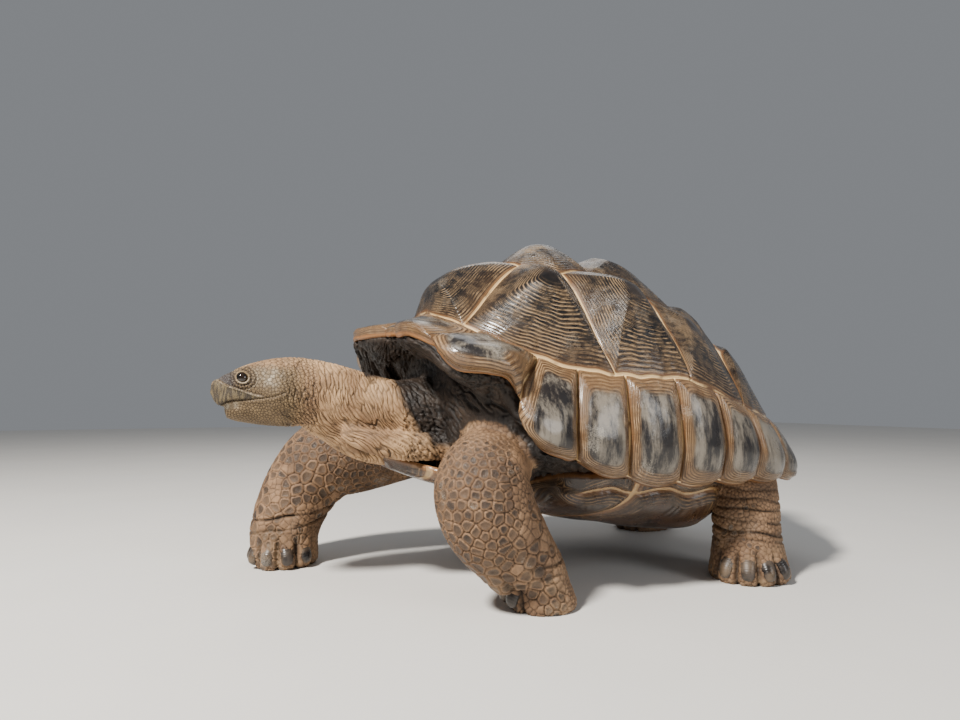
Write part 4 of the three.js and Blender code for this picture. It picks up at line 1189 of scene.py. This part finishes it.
def neck_wrinkles(points, front):
    """Depths of the folds round the neck, and how strongly each point lies in one."""
    x, y, z = points.T
    slope = mixed(0.8, 0.1, eased(z, 285, 400))
    round_neck = y + slope * (z - 400) + 8 * noise(points, 45, 51)
    drawn = np.column_stack([x * 0.2, round_neck, z * 0.2])
    drawn = drawn + noises(points, 15, (52, 59, 50)) * [1.2, 3.0, 1.2]
    drawn = drawn + noises(points, 6, (47, 48, 49)) * [0.3, 0.6, 0.3]
    size = 7.0 + 2.5 * noise(points, 40, 58)
    cells = Scales(drawn, size, (front > 0) & (y > -790), 2)
    low = 1 - eased(z, 320, 400)
    faint = np.clip(0.75 + 0.8 * noise(points, 20, 57), 0.25, 1)
    small = (1 - cells.plate(1.25)) * faint
    long_lines = cracks(drawn, 15, 53, 0.07) * eased(noise(points, 32, 54), -0.4, 0.1)
    neck = eased(-y, 385, 430) * (1 - eased(-y, 722, 785)) * front
    line = np.maximum(mixed(0.7, 1.0, low) * long_lines, 0.75 * small)
    depth = -neck * (mixed(2.2, 3.6, low) * line + mixed(1.0, 1.4, low) * (1 - cells.cushion()))
    return depth, neck * np.clip(line, 0, 1)


# Sizes of the scales on the legs, in mm.
ELSEWHERE, GRANULE, GREAT_PLATE, HIND_PLATE = 12.0, 6.5, 25.0, 14.0
FRONT_SCALES, HIND_SCALES = (9.0, 17.0), (6.0, 8.0)  # from the root of a leg down
LEG_EDGE = (1.22, 1.45)  # in girths of the leg


def leg_plate_sizes(points, normals, legs):
    """For each point: the size of scale wanted there, how far it is on a leg, and how plated it is."""
    size = np.full(len(points), ELSEWHERE)
    mask, plated = np.zeros((2, len(points)))
    patchy = noise(points, 30, 41)
    rear = eased(normals[:, 1], -0.1, 0.6)
    for name, (along, out) in legs.items():
        here = (1 - eased(out, *LEG_EDGE)) * eased(along, 0.12, 0.30)
        mask = np.maximum(mask, here)
        if "front" in name:
            down = eased(along + 0.08 * noise(points, 60, 42), 0.2, 0.5)
            wide = mixed(*FRONT_SCALES, down) * (1 + 0.16 * patchy)
            wide = np.where((along > 0.55) & (along < 0.9) & (patchy > 0.25), GREAT_PLATE, wide)
            granular = np.maximum(rear, (along > 0.62) & (patchy < -0.25))
            wide = np.where((granular > 0.5) & (patchy < 0.34), GRANULE, wide)
            bare = eased(along + 0.08 * patchy, 0.17 + 0.16 * rear, 0.27 + 0.2 * rear)
        else:
            wide = mixed(*HIND_SCALES, eased(along, 0.35, 0.75))
            wide = np.where((along > 0.5) & (patchy > 0.4), HIND_PLATE, wide)
            bare = 1.0
        size = np.where(here > 0.02, wide, size)
        plated = np.maximum(plated, here * bare)
    return size, mask, plated


def leg_creases(points, legs):
    """Deep rings of folded skin round the ankles and the hind legs."""
    z = points[:, 2]
    total = np.zeros(len(points))
    for name, rings in LEG_CREASES.items():
        along, out = legs[name]
        here = (1 - eased(out, *LEG_EDGE)) * (along > 0.3)
        tilt = 0.16 * (points[:, 1] - LEGS[name]["path"][-1][1]) * (1 if "front" in name else -0.6)
        for number, (height, deep) in enumerate(rings):
            gap = z - height - tilt - 6 * noise(points, 60, 60 + number)
            broken = np.clip(0.75 + 0.9 * noise(points, 38, 66 + number), 0.2, 1)
            total = np.maximum(total, here * deep * broken * bump(gap, 2.4 + 0.1 * deep))
    return total


def shade_and_dark_skin_mask(points, legs):
    """Painted shade over skin that is dark too: the base of the neck, the top of the neck under the shell's
    edge and the body inside the shell, leaving the legs out and fading towards the rear.
    """
    y, z = points[:, 1], points[:, 2]
    edge = -528 + 45 * eased(400 - z, 0, 95) + 6 * noise(points, 25, 80)
    shade_and_dark_skin = eased(y - edge, -10, 14) * eased(z, 286, 306)
    shade_and_dark_skin = np.maximum(shade_and_dark_skin, y > -440)
    shade_and_dark_skin = np.maximum(shade_and_dark_skin, eased(z, 425, 440) * (y > -590))
    ragged = 0.07 * noise(points, 22, 81) + 0.03 * noise(points, 7, 82)
    for along, out in legs.values():
        shade_and_dark_skin = shade_and_dark_skin * (1 - (1 - eased(out + ragged, 1.07, 1.17)) * eased(along + ragged, 0.18, 0.23))
    return shade_and_dark_skin * mixed(1.0, 0.3, eased(y, 230, 330))


def head_scales(points, eye, beak, head, front):
    """Small scales of the head: their depth, the grooves between them for painted shade, the painted shade
    round the beads near the eye, and the temple.
    """
    x, y, z = points.T
    crown = eased(z, 446, 462) * head
    temple = head * bump(np.hypot(y + 781, (z - 433) * 1.2), 21)
    near_eye = head * (1 - eased(eye, 22, 27)) * (np.abs(x) > 15)
    size = mixed(6.5, mixed(4.6, 10.5, np.maximum(crown, 0.5 * temple) * (1 - near_eye)), head)
    scales = Scales(points, size, (front > 0) & (y < HEAD_SCALES_FROM), 1)
    bare = (1 - beak) * eased(eye, 11.5, 13) * (y < HEAD_SCALES_FROM)
    lift = head * (0.75 + 0.5 * near_eye) * (0.6 * scales.plate(1.4) + 0.4 * scales.cushion() - 1) * bare
    grooves = bare * (front > 0) * (1 - scales.plate(1.5))
    beads = 0.6 * near_eye * bare * (1 - scales.plate(2.0))
    return lift, grooves, beads, temple


def leg_scales(points, plate_size, scaly, plated):
    """Dished plates of the legs: their height, where they lie (the grooves between them are painted darker as
    shade), and their dark middles.
    """
    plates = Scales(points, plate_size, scaly > 0.02, 3, toe_scale_places(), even=True)
    high = np.clip(plates.size * 0.27, 0.9, 4.6)
    dish = 0.5 * eased(plates.border, 0.16 * plates.size, 0.42 * plates.size) * eased(plates.size, 9, 13)
    lift = plated * high * (0.6 * plates.plate(1.9) + 0.4 * plates.cushion() - dish - 1)
    core = plated * (0.65 + 0.35 * plates.shade) * eased(plates.size, 6.5, 11)
    return lift, plates.plate(1.5), core * eased(plates.border, 0.14 * plates.size, 0.24 * plates.size)


def loose_folds(points, loose):
    """Folds of loose skin along the shell's edge: their depth, and how strongly each point lies in one."""
    drawn = along_shell_edge(points)
    drape, tight = creases(drawn, 10.0, 70, 0.45), creases(drawn, 4.5, 71, 0.5)
    depth = loose * (5.0 * (drape - 1) + 1.6 * (tight - 1))
    return depth, loose * np.clip(0.8 * (1 - drape) + 0.3 * (1 - tight), 0, 1)


def pale_places(points, eye, head, temple):
    """Pale skin at the temple, the chin, round the lids and along the beak's edge."""
    x, y, z = points.T
    chin = head * eased(-y, 826, 842) * eased(curve(MOUTH_LINE, y) - z, 1, 3) * eased(z, 366, 374)
    lids = 0.6 * bump(eye - 10.9, 1.8) * (z < 430) + 0.5 * bump(eye - 26.8, 1.5)
    beak_edge = 0.5 * bump(z - curve(BEAK_TOP, y), 2.2) * eased(-y, 786, 800) * (y < FACE_FROM)
    lids = (y < EYES_FROM) * (np.abs(x) > 20) * lids
    return np.clip(np.maximum.reduce([0.8 * temple, 0.6 * chin, lids, beak_edge]), 0, 1)


def dressed_skin(mesh):
    """The skin with its face, scales, toes and folds as geometry, and its marks for the finish, painted shade
    among them.
    """
    points = with_face_front(read(mesh) / MM)
    write(mesh, points * MM)
    normals = read_normals(mesh)
    x, y, z = points.T
    legs, eye = leg_places(points), eye_distance(points)
    head = eased(-y, 700, 745)
    plate_size, scaly, plated = leg_plate_sizes(points, normals, legs)
    front = ((y < NECK_FROM) & (np.abs(x) < NECK_HALF) & (z > NECK_OVER)) * (1 - scaly)

    face, beak, slate, mouth = (part * (y < FACE_FROM) for part in face_form(points, normals, eye))
    wrinkles, in_wrinkle = neck_wrinkles(points, front)
    fine, fine_grooves, eye_beads, temple = head_scales(points, eye, beak, head, front)
    plates, plate, core = leg_scales(points, plate_size, scaly, plated)
    rings = leg_creases(points, legs)
    toes, between_toes = foot_form(points, legs)
    loose = np.clip(1 - scaly - front, 0, 1) + 0.5 * front * (y > -520)
    folds, in_fold = loose_folds(points, loose)
    lift = face + wrinkles + fine + plates + toes - rings + folds

    shaped = sunk_round_eyes(points + normals * lift[:, None], eye)
    shaped[:, 2] = np.maximum(shaped[:, 2], 0)
    write(mesh, shaped * MM)

    # Lines painted darker as shade: round the lids, in the neck wrinkles, the mouth, the leg rings, between
    # the toes, in the folds and round the beads near the eye
    lid_lines = [deep * bump(eye - at, wide) for deep, at, wide in LID_LINES]
    lid_lines = np.maximum.reduce(lid_lines) * (y < EYES_FROM)
    lines = in_wrinkle + mouth + lid_lines + rings / 6 + between_toes + in_fold + eye_beads
    marks = {
        # plate: 0 in the grooves between scales, which are painted darker as shade
        "plate": np.where(plated > 0.02, plate, 1 - fine_grooves),
        "core": core,
        "scaly": scaly,
        "shade_and_dark_skin": shade_and_dark_skin_mask(shaped, legs),
        "beak": beak,
        "pale": pale_places(points, eye, head, temple),
        "crease_shade": np.clip(lines, 0, 1),
        "slate": slate,
        "face": head * (1 - eased(z, 440, 462)),
    }
    for name in SKIN_MARKS:
        set_mark(mesh, name, marks[name])
    mesh.polygons.foreach_set("use_smooth", np.ones(len(mesh.polygons), bool))
    mesh.name = "skin"
    return mesh


# ---------------------------------------------------------------- claws and eyes


def toe_reach(skin, sole, ahead, aside):
    """How far the toe in front of a claw stands out from the middle of its foot."""
    x, y = skin[:, 0] - sole[0], skin[:, 1] - sole[1]
    out = x * ahead[0] + y * ahead[1]
    across = np.abs(x * aside[0] + y * aside[1])
    near = (across < 6) & (out > 0) & (out < 110)
    level = [out[near & (np.abs(skin[:, 2] - z) < 6)].max() for z in (CLAW["high"], CLAW["low"])]
    return min(level[0], level[1] + 5)


def claw_rings(skin, sole, turn):
    """Rings of one blunt claw, curved down a little, from its root under the skin to its tip."""
    ahead = np.array([math.sin(turn), -math.cos(turn), 0.0])
    aside = np.array([math.cos(turn), math.sin(turn), 0.0])
    reach = toe_reach(skin, sole, ahead, aside) - CLAW["inset"]
    along = np.linspace(0, 1, 30)
    length = CLAW["long"] * along - CLAW["sunk"]
    tilt = np.radians(CLAW["tilt"] - 10 + 20 * along)
    centre = np.array([*sole[:2], CLAW["high"]]) + ahead * (reach + length * np.cos(tilt))[:, None]
    centre[:, 2] -= length * np.sin(tilt)
    girth = mixed(CLAW["root"], CLAW["tip"], along**1.5) * np.sqrt(np.clip(1 - along**9, 0.0004, 1))
    girth = girth * (1 + 0.02 * np.sin(along * 55))
    angle, lean = full_turn(28)[:, None], math.radians(CLAW["tilt"])
    up = ahead * math.sin(lean) + np.array([0, 0, math.cos(lean)])
    ring = aside * np.cos(angle) + up * np.sin(angle) * CLAW["flat"]
    points = centre[:, None] + ring * girth[:, None, None]
    points[:, :, 2] = np.maximum(points[:, :, 2], 0)
    return points


def claws_mesh(name, leg, skin):
    claws = Patchwork()
    for turn in toe_turns(leg):
        claws.tube(claw_rings(skin, leg["path"][-2], turn)[:, ::-1] * MM)
    return claws.mesh("claws_" + name)


def eye_mesh(name, side):
    ball = Patchwork()
    forward, up, out = np.moveaxis(ball_rings(64), -1, 0)
    rings = np.stack([out * side, forward, up * side], -1)
    ball.tube((rings * EYE["radius"] + [side * EYE["x"], EYE["y"], EYE["z"]]) * MM)
    return ball.mesh("eyeball_" + name)


# ---------------------------------------------------------------- node helpers


class Tone:
    """A value or colour that changes over the surface. Sums of tones are written as sums."""

    def __init__(self, finish, socket):
        self.finish, self.socket = finish, socket

    def __add__(self, other):
        return self.finish.math("ADD", self, other)

    def __mul__(self, other):
        return self.finish.math("MULTIPLY", self, other)

    def __sub__(self, other):
        return self.finish.math("SUBTRACT", self, other)

    def __rsub__(self, other):
        return self.finish.math("SUBTRACT", other, self)

    __radd__, __rmul__ = __add__, __mul__

    def eased(self, low, high):
        """0 where the tone is at the low value and 1 where it is at the high one."""
        inputs = {"Value": self, "From Min": low, "From Max": high}
        return self.finish.put("ShaderNodeMapRange", "Result", inputs, interpolation_type="SMOOTHSTEP")


class Nodes:
    """A node tree that tones are added to."""

    def __init__(self, tree):
        self.tree = tree

    def join(self, value, socket):
        if isinstance(value, Tone):
            self.tree.links.new(value.socket, socket)
        else:
            socket.default_value = value

    def put(self, kind, output, inputs=None, **settings):
        """One output of a new node, with its settings, and its inputs set or joined to other tones."""
        node = self.tree.nodes.new(kind)
        for name, value in settings.items():
            setattr(node, name, value)
        for key, value in (inputs or {}).items():
            self.join(value, node.inputs[key])
        return Tone(self, node.outputs[output])

    def math(self, operation, *values):
        return self.put("ShaderNodeMath", 0, dict(enumerate(values)), operation=operation)

    def blend(self, share, a, b):
        return self.put("ShaderNodeMix", 2, {0: share, 6: a, 7: b}, data_type="RGBA")

    def mark(self, name):
        return self.put("ShaderNodeAttribute", "Fac", attribute_name=name)

    def places(self, upright=1.0):
        """Places on the object, with heights drawn long where upright is under 1."""
        places = self.put("ShaderNodeTexCoord", "Object")
        if upright == 1.0:
            return places
        return self.put("ShaderNodeVectorMath", 0, {0: places, 1: (1.0, 1.0, upright)}, operation="MULTIPLY")

    def grain(self, scale, detail, rough=0.55, upright=1.0):
        inputs = {"Scale": scale, "Detail": detail, "Roughness": rough, "Vector": self.places(upright)}
        return self.put("ShaderNodeTexNoise", "Fac", inputs)

    def clouds(self, scale, detail, rough, low, high):
        """Patches of 0 and 1 with eased borders, where the grain lies between the low and the high value."""
        return self.grain(scale, detail, rough).eased(low, high)

    def lines(self, phase):
        """0 at every whole number of the phase and 1 halfway between."""
        return self.math("ABSOLUTE", self.math("SINE", phase * math.pi))


class Group(Nodes):
    """A shared effect, with named inputs and one output, built once and used in several finishes."""

    def __init__(self, name, output, kind, **inputs):
        super().__init__(bpy.data.node_groups.new(name, "ShaderNodeTree"))
        for label, value in inputs.items():
            colour_wanted = value is None
            socket_type = "NodeSocketColor" if colour_wanted else "NodeSocketFloat"
            socket = self.tree.interface.new_socket(label, in_out="INPUT", socket_type=socket_type)
            if not colour_wanted:
                socket.default_value = value
        self.output = output
        self.tree.interface.new_socket(output, in_out="OUTPUT", socket_type=kind)
        given = self.tree.nodes.new("NodeGroupInput").outputs
        self.given = {label: Tone(self, given[label]) for label in inputs}

    def ends_with(self, tone):
        self.join(tone, self.tree.nodes.new("NodeGroupOutput").inputs[self.output])
        return self

    def used_in(self, finish, **inputs):
        return finish.put("ShaderNodeGroup", self.output, inputs, node_tree=self.tree)


class Finish(Nodes):
    """A material with its shader."""

    def __init__(self, name, **settings):
        self.material = bpy.data.materials.new(name)
        self.material.use_nodes = True
        super().__init__(self.material.node_tree)
        self.shader = next(node for node in self.tree.nodes if node.type == "BSDF_PRINCIPLED")
        self.set(**settings)

    def set(self, **values):
        for key, value in values.items():
            self.join(value, self.shader.inputs[key.replace("_", " ")])

    def bump(self, strength, depth, height):
        inputs = {"Strength": strength, "Distance": depth, "Height": height}
        self.set(Normal=self.put("ShaderNodeBump", "Normal", inputs))


def colour(*shown):
    """A colour given as a screen shows it: red, green and blue from 0 to 255."""
    return tuple(((c / 255 + 0.055) / 1.055) ** 2.4 if c > 10 else c / 3294.6 for c in shown) + (1.0,)


# ---------------------------------------------------------------- colours

EARTH = colour(176, 146, 112)
DUSTY_UP_TO = 0.14  # metres over the floor
CARAPACE_TONES = {
    "dark": colour(12, 11, 12),
    "middle": colour(38, 30, 25),
    "centre": colour(126, 118, 106),
    "centre_dark": colour(30, 28, 29),
    "tan": colour(132, 100, 68),
    "line": colour(168, 139, 103),
    "edge": colour(106, 74, 46),
    "amber": colour(150, 104, 62),
    "cream": colour(216, 186, 138),
    "worn": colour(186, 178, 164),
    # painted shade: the dark brown that the inner face of the shell turns to further in
    "shaded_lining": colour(62, 40, 22),
}
PLASTRON_TONES = CARAPACE_TONES | {
    "dark": colour(30, 21, 16),
    "middle": colour(68, 44, 28),
    "tan": colour(132, 92, 52),
    "line": colour(146, 116, 80),
    "cream": colour(180, 148, 104),
}
SKIN_TONES = {
    "neck": (colour(136, 105, 75), colour(194, 157, 116)),
    "head": (colour(98, 84, 58), colour(150, 128, 92)),
    "neck_spots": colour(84, 68, 50),
    "legs": (colour(108, 82, 59), colour(152, 120, 90)),
    "leg_spots": colour(96, 72, 54),
    "scale_middles": (colour(22, 20, 20), colour(58, 48, 42)),
    "pale": colour(206, 194, 172),
    "snout": (colour(38, 42, 52), colour(74, 74, 76)),
    "beak": (colour(52, 46, 38), colour(118, 104, 74)),
    # painted shade in the grooves between scales
    "grooves": colour(40, 26, 18),
    # painted shade in the creases and folds, the mouth, the nostrils and the lines round the lids
    "creases": colour(30, 20, 13),
    # pale wear, also used as painted glints on the dark middles of the leg plates
    "worn": colour(196, 188, 174),
    # The next two colours are painted shade for the skin inside the shell and at the base of the neck, on
    # skin that is partly dark too
    "deep": (colour(17, 14, 14), colour(42, 33, 27)),
    "shaded_creases": colour(9, 7, 7),
}
CLAW_TONES = {"horn": (colour(24, 22, 22), colour(62, 55, 50)), "worn": colour(160, 150, 138)}
EYE_TONES = (colour(10, 8, 7), colour(44, 30, 20))
FLOOR_TONES = (colour(214, 212, 208), colour(222, 220, 216))

# ---------------------------------------------------------------- shared effects


def worn_specks_group():
    """Small pale scratches and pits, as horn gets where it rubs."""
    group = Group("worn_specks", "Mask", "NodeSocketFloat", Size=300.0, Amount=0.5)
    rubbed = group.clouds(11.0, 3.0, 0.55, 0.5, 0.68)
    threshold = 0.72 - rubbed * (group.given["Amount"] * 0.3)
    return group.ends_with((group.grain(group.given["Size"], 5.0, 0.7) - threshold).eased(0.0, 0.09))


def dust_group():
    """Dry earth in patches: more of it low down, and an even share everywhere set by Hollow."""
    group = Group("dust", "Color", "NodeSocketColor", Color=None, Hollow=0.0, Amount=0.3)
    height = group.put("ShaderNodeSeparateXYZ", "Z", {0: group.places()})
    lying = height.eased(DUSTY_UP_TO, 0.0) * 0.8 + group.given["Hollow"]
    share = lying * group.clouds(23.0, 5.0, 0.6, 0.42, 0.7) * group.given["Amount"]
    share = group.put("ShaderNodeClamp", 0, {0: share})
    return group.ends_with(group.blend(share, group.given["Color"], EARTH))


# ---------------------------------------------------------------- finishes


def horn_finish(name, tones, specks, dust):
    """Worn horn with growth rings: dark plates, tan lines, cream seams, and amber inside the rim that darkens
    further in as painted shade.
    """
    horn = Finish(name, IOR=1.5, Specular_IOR_Level=0.35, Coat_Weight=0.35, Coat_Roughness=0.14)
    blend, clouds = horn.blend, horn.clouds
    share, growth, inset, marginal, inside = map(horn.mark, SHELL_MARKS)
    waver = (horn.grain(14.0, 5.0, 0.5) - 0.5) * 1.5
    outward = share + waver * 0.2

    plate = blend(clouds(9.0, 6.0, 0.62, 0.38, 0.64), tones["dark"], tones["middle"])
    outer = (outward + marginal * 0.16).eased(0.6, 1.0)
    plate = blend(outer * (marginal * 0.5 + 0.18), plate, tones["tan"])

    wide_line, fine_line = horn.lines(growth + waver), horn.lines(growth * 3.0 + waver * 2.0)
    wide = wide_line.eased(0.64, 0.26) * clouds(21.0, 6.0, 0.7, 0.42, 0.58)
    fine = fine_line.eased(0.6, 0.2) * clouds(47.0, 5.0, 0.6, 0.44, 0.6)
    ringed_from = marginal * 0.42 + 0.1
    ringed = (share + waver * marginal * 0.1).eased(ringed_from, ringed_from + 0.16)
    ringed = ringed * (1.0 - clouds(6.5, 4.0, 0.6, 0.5, 0.62) * 0.5)
    line_share = horn.math("MAXIMUM", wide * 0.8, fine * 0.65) * ringed * (marginal * 0.18 + 0.82)
    plate = blend(line_share, plate, tones["line"])
    plate = blend(wide_line.eased(0.8, 0.98) * ringed * 0.6, plate, tones["dark"])

    streaks = horn.grain(24.0, 9.0, 0.72, upright=0.22).eased(0.43, 0.6)
    centre = blend(streaks, tones["centre_dark"], tones["centre"])
    plate = blend(outward.eased(0.72, 0.6) * marginal * 0.92, plate, centre)

    from_seam = inset + waver * 2.2
    plate = blend(from_seam.eased(11.0, 5.0) * 0.85, plate, tones["edge"])
    plate = blend(from_seam.eased(5.4, 2.8) * clouds(17.0, 3.0, 0.55, 0.34, 0.48), plate, tones["cream"])
    worn = specks.used_in(horn, Size=380.0, Amount=1.0)
    plate = blend(worn * (marginal * 0.16 + 0.1), plate, tones["worn"])
    # The inner face of the shell: amber horn near the rim, darkening inwards with dark mottling as painted
    # shade
    shaded_lining = blend(inset.eased(40.0, 230.0), tones["amber"], tones["shaded_lining"])
    shaded_lining = blend(clouds(14.0, 5.0, 0.55, 0.5, 0.75) * 0.6, shaded_lining, tones["dark"])
    plate = blend(inside, plate, shaded_lining)

    rough = horn.grain(40.0, 5.0) * 0.24 + 0.17 + line_share * 0.15 + inside * 0.35
    horn.set(Base_Color=dust.used_in(horn, Color=plate, Hollow=0.12, Amount=0.13), Roughness=rough)
    horn.bump(0.9, 0.0011, fine_line * ringed * 0.5 + horn.grain(240.0, 4.0) * 0.5)
    return horn.material


def skin_finish(specks, dust):
    """Dry, wrinkled skin: tan on the neck, dished scales with dark middles on the legs, and painted shade in
    the grooves and creases and over the skin inside the shell.
    """
    hide = Finish("skin_hide", Specular_IOR_Level=0.35)
    plate, core, scaly, shade_and_dark_skin, beak, pale, crease_shade, slate, face = map(hide.mark, SKIN_MARKS)
    clouds, spots = hide.clouds(13.0, 6.0, 0.62, 0.36, 0.66), hide.clouds(85.0, 4.0, 0.6, 0.4, 0.62)
    bars = hide.grain(210.0, 3.0, 0.5, upright=0.2).eased(0.45, 0.62)

    def spread(share, name):
        """Between the two colours of a tone."""
        return hide.blend(share, *SKIN_TONES[name])

    base = hide.blend(face * 0.8, spread(clouds, "neck"), spread(clouds, "head"))
    base = hide.blend(spots * 0.25, base, SKIN_TONES["neck_spots"])
    legs = hide.blend(spots * 0.3, spread(clouds, "legs"), SKIN_TONES["leg_spots"])
    legs = hide.blend(core * 0.9, legs, spread(spots, "scale_middles"))
    base = hide.blend(scaly, base, legs)
    base = hide.blend(pale * (spots * 0.7 + 0.15), base, SKIN_TONES["pale"])
    base = hide.blend(slate * 0.9, base, spread(spots, "snout"))
    base = hide.blend(beak, base, spread(bars * 0.6, "beak"))
    # Painted shade in the grooves between scales
    base = hide.blend((1.0 - plate) * 0.8, base, SKIN_TONES["grooves"])
    # Painted shade in the creases and folds, the mouth and nostrils, round the lids and between the toes
    base = hide.blend(crease_shade * 0.9, base, SKIN_TONES["creases"])
    # Pale specks: a little wear everywhere, and more on the plates' dark middles as painted glints
    worn = specks.used_in(hide, Size=380.0, Amount=1.0) * (core * 0.22 + 0.05)
    base = hide.blend(worn, base, SKIN_TONES["worn"])
    dusty = dust.used_in(hide, Color=base, Hollow=0.1, Amount=0.5)
    # Painted shade: the dark colours for skin under the shell, darker still in its creases
    shaded_skin = hide.blend(crease_shade * 0.85, spread(clouds, "deep"), SKIN_TONES["shaded_creases"])
    rough = hide.grain(60.0, 4.0) * 0.3 + 0.46 - core * 0.2 - shade_and_dark_skin * 0.12
    # Painted shade: the skin under the shell and at the base of the neck darkened, over skin that is partly
    # dark of its own
    hide.set(Base_Color=hide.blend(shade_and_dark_skin * 0.97, dusty, shaded_skin), Roughness=rough)

    cells = {"Scale": 420.0, "Vector": hide.places()}
    pebbles = hide.put("ShaderNodeTexVoronoi", "Distance", cells, feature="DISTANCE_TO_EDGE").eased(0.0, 0.2)
    hide.bump(0.6, 0.0008, pebbles * 0.6 + hide.grain(300.0, 4.0))
    return hide.material


def claw_finish(specks, dust):
    claw = Finish("claw_horn", IOR=1.5)
    clouds = claw.clouds(42.0, 5.0, 0.55, 0.35, 0.65)
    worn = specks.used_in(claw, Size=500.0, Amount=1.0)
    base = claw.blend(worn * 0.4, claw.blend(clouds, *CLAW_TONES["horn"]), CLAW_TONES["worn"])
    dusty = dust.used_in(claw, Color=base, Hollow=0.1, Amount=0.3)
    claw.set(Base_Color=dusty, Roughness=clouds * 0.25 + 0.24)
    claw.bump(0.4, 0.0006, claw.grain(160.0, 5.0))
    return claw.material


def eye_finish():
    eye = Finish("wet_eye", Roughness=0.06, IOR=1.4, Coat_Weight=0.6)
    eye.set(Base_Color=eye.blend(eye.clouds(90.0, 3.0, 0.55, 0.35, 0.7), *EYE_TONES))
    return eye.material


# ---------------------------------------------------------------- the animal


def build_tortoise():
    specks, dust = worn_specks_group(), dust_group()
    shell_horn = horn_finish("shell_horn", CARAPACE_TONES, specks, dust)
    belly_horn = horn_finish("belly_horn", PLASTRON_TONES, specks, dust)
    wet, claw = eye_finish(), claw_finish(specks, dust)
    flesh_nodes = ["torso", "neck", "head", "tail"] + ["leg_" + name for name in LEGS]
    skin = skin_mesh()
    foot_skin = read(skin) / MM
    foot_skin = foot_skin[foot_skin[:, 2] < 2 * CLAW["high"]]
    pieces = [
        (carapace_mesh(), "carapace_horn", shell_horn, ["carapace"]),
        (plastron_mesh(), "plastron_horn", belly_horn, ["plastron"]),
        (skin, "skin", skin_finish(specks, dust), flesh_nodes),
        (eye_mesh("left", 1), "eye", wet, ["eye_left"]),
        (eye_mesh("right", -1), "eye", wet, ["eye_right"]),
    ]
    pieces += [(claws_mesh(name, leg, foot_skin), "claw", claw, []) for name, leg in LEGS.items()]
    for mesh, slot, material, replaced in pieces:
        write(mesh, read(mesh) + OFFSET)
        mesh.materials.append(material)
        place(mesh, slot, *replaced)


# ---------------------------------------------------------------- floor, light and camera

CAMERA_AT = (1.39030086, -0.92793131, 0.38551343)  # in the body's layout, in metres
CAMERA_TURN, CAMERA_UP = math.radians(24.0), math.atan(41 / 660)
LENS = 24.75
LIGHTS = {  # place, size, power and tint
    "key": ((1.5, -3.0, 3.6), 0.6, 520, (1.0, 0.95, 0.88)),
    "fill": ((3.4, 1.6, 1.6), 1.6, 38, (0.96, 0.98, 1.0)),
    "back": ((-2.6, 1.4, 3.2), 2.4, 22, (1.0, 0.98, 0.95)),
}
LIT_POINT = (0, 0, 0.35)
FLOOR_HALF = 9.0


def turned_to(direction):
    return Vector(direction).to_track_quat("-Z", "Y").to_euler()


def build_floor():
    mesh = bpy.data.meshes.new("studio_floor")
    corners = [(x * FLOOR_HALF, y * FLOOR_HALF, 0) for x, y in ((-1, -1), (1, -1), (1, 1), (-1, 1))]
    mesh.from_pydata(corners, [], [(0, 1, 2, 3)])
    paint = Finish("floor_paint", Roughness=0.9)
    paint.set(Base_Color=paint.blend(paint.grain(3.0, 4.0), *FLOOR_TONES))
    mesh.materials.append(paint.material)
    floor = added("studio_floor", mesh)


def build_light():
    world = bpy.data.worlds.new("studio")
    world.use_nodes = True
    background = world.node_tree.nodes["Background"]
    background.inputs["Color"].default_value = (0.86, 0.9, 0.96, 1)
    background.inputs["Strength"].default_value = 0.26
    bpy.context.scene.world = world
    for name, (at, size, power, tint) in LIGHTS.items():
        data = bpy.data.lights.new(name, "AREA")
        data.shape, data.size, data.energy, data.color = "DISK", size, power, tint
        lamp = added(name, data)
        lamp.location = at
        lamp.rotation_euler = turned_to(Vector(LIT_POINT) - Vector(at))


def build_camera():
    data = bpy.data.cameras.new("camera")
    data.lens, data.sensor_width, data.clip_start = LENS, 36.0, 0.01
    camera = added("camera", data)
    camera.location = Vector(CAMERA_AT) + Vector(OFFSET)
    level = math.cos(CAMERA_UP)
    look = (-math.cos(CAMERA_TURN) * level, math.sin(CAMERA_TURN) * level, math.sin(CAMERA_UP))
    camera.rotation_euler = turned_to(look)
    bpy.context.scene.camera = camera


build_camera()
build_floor()
build_light()
build_tortoise()
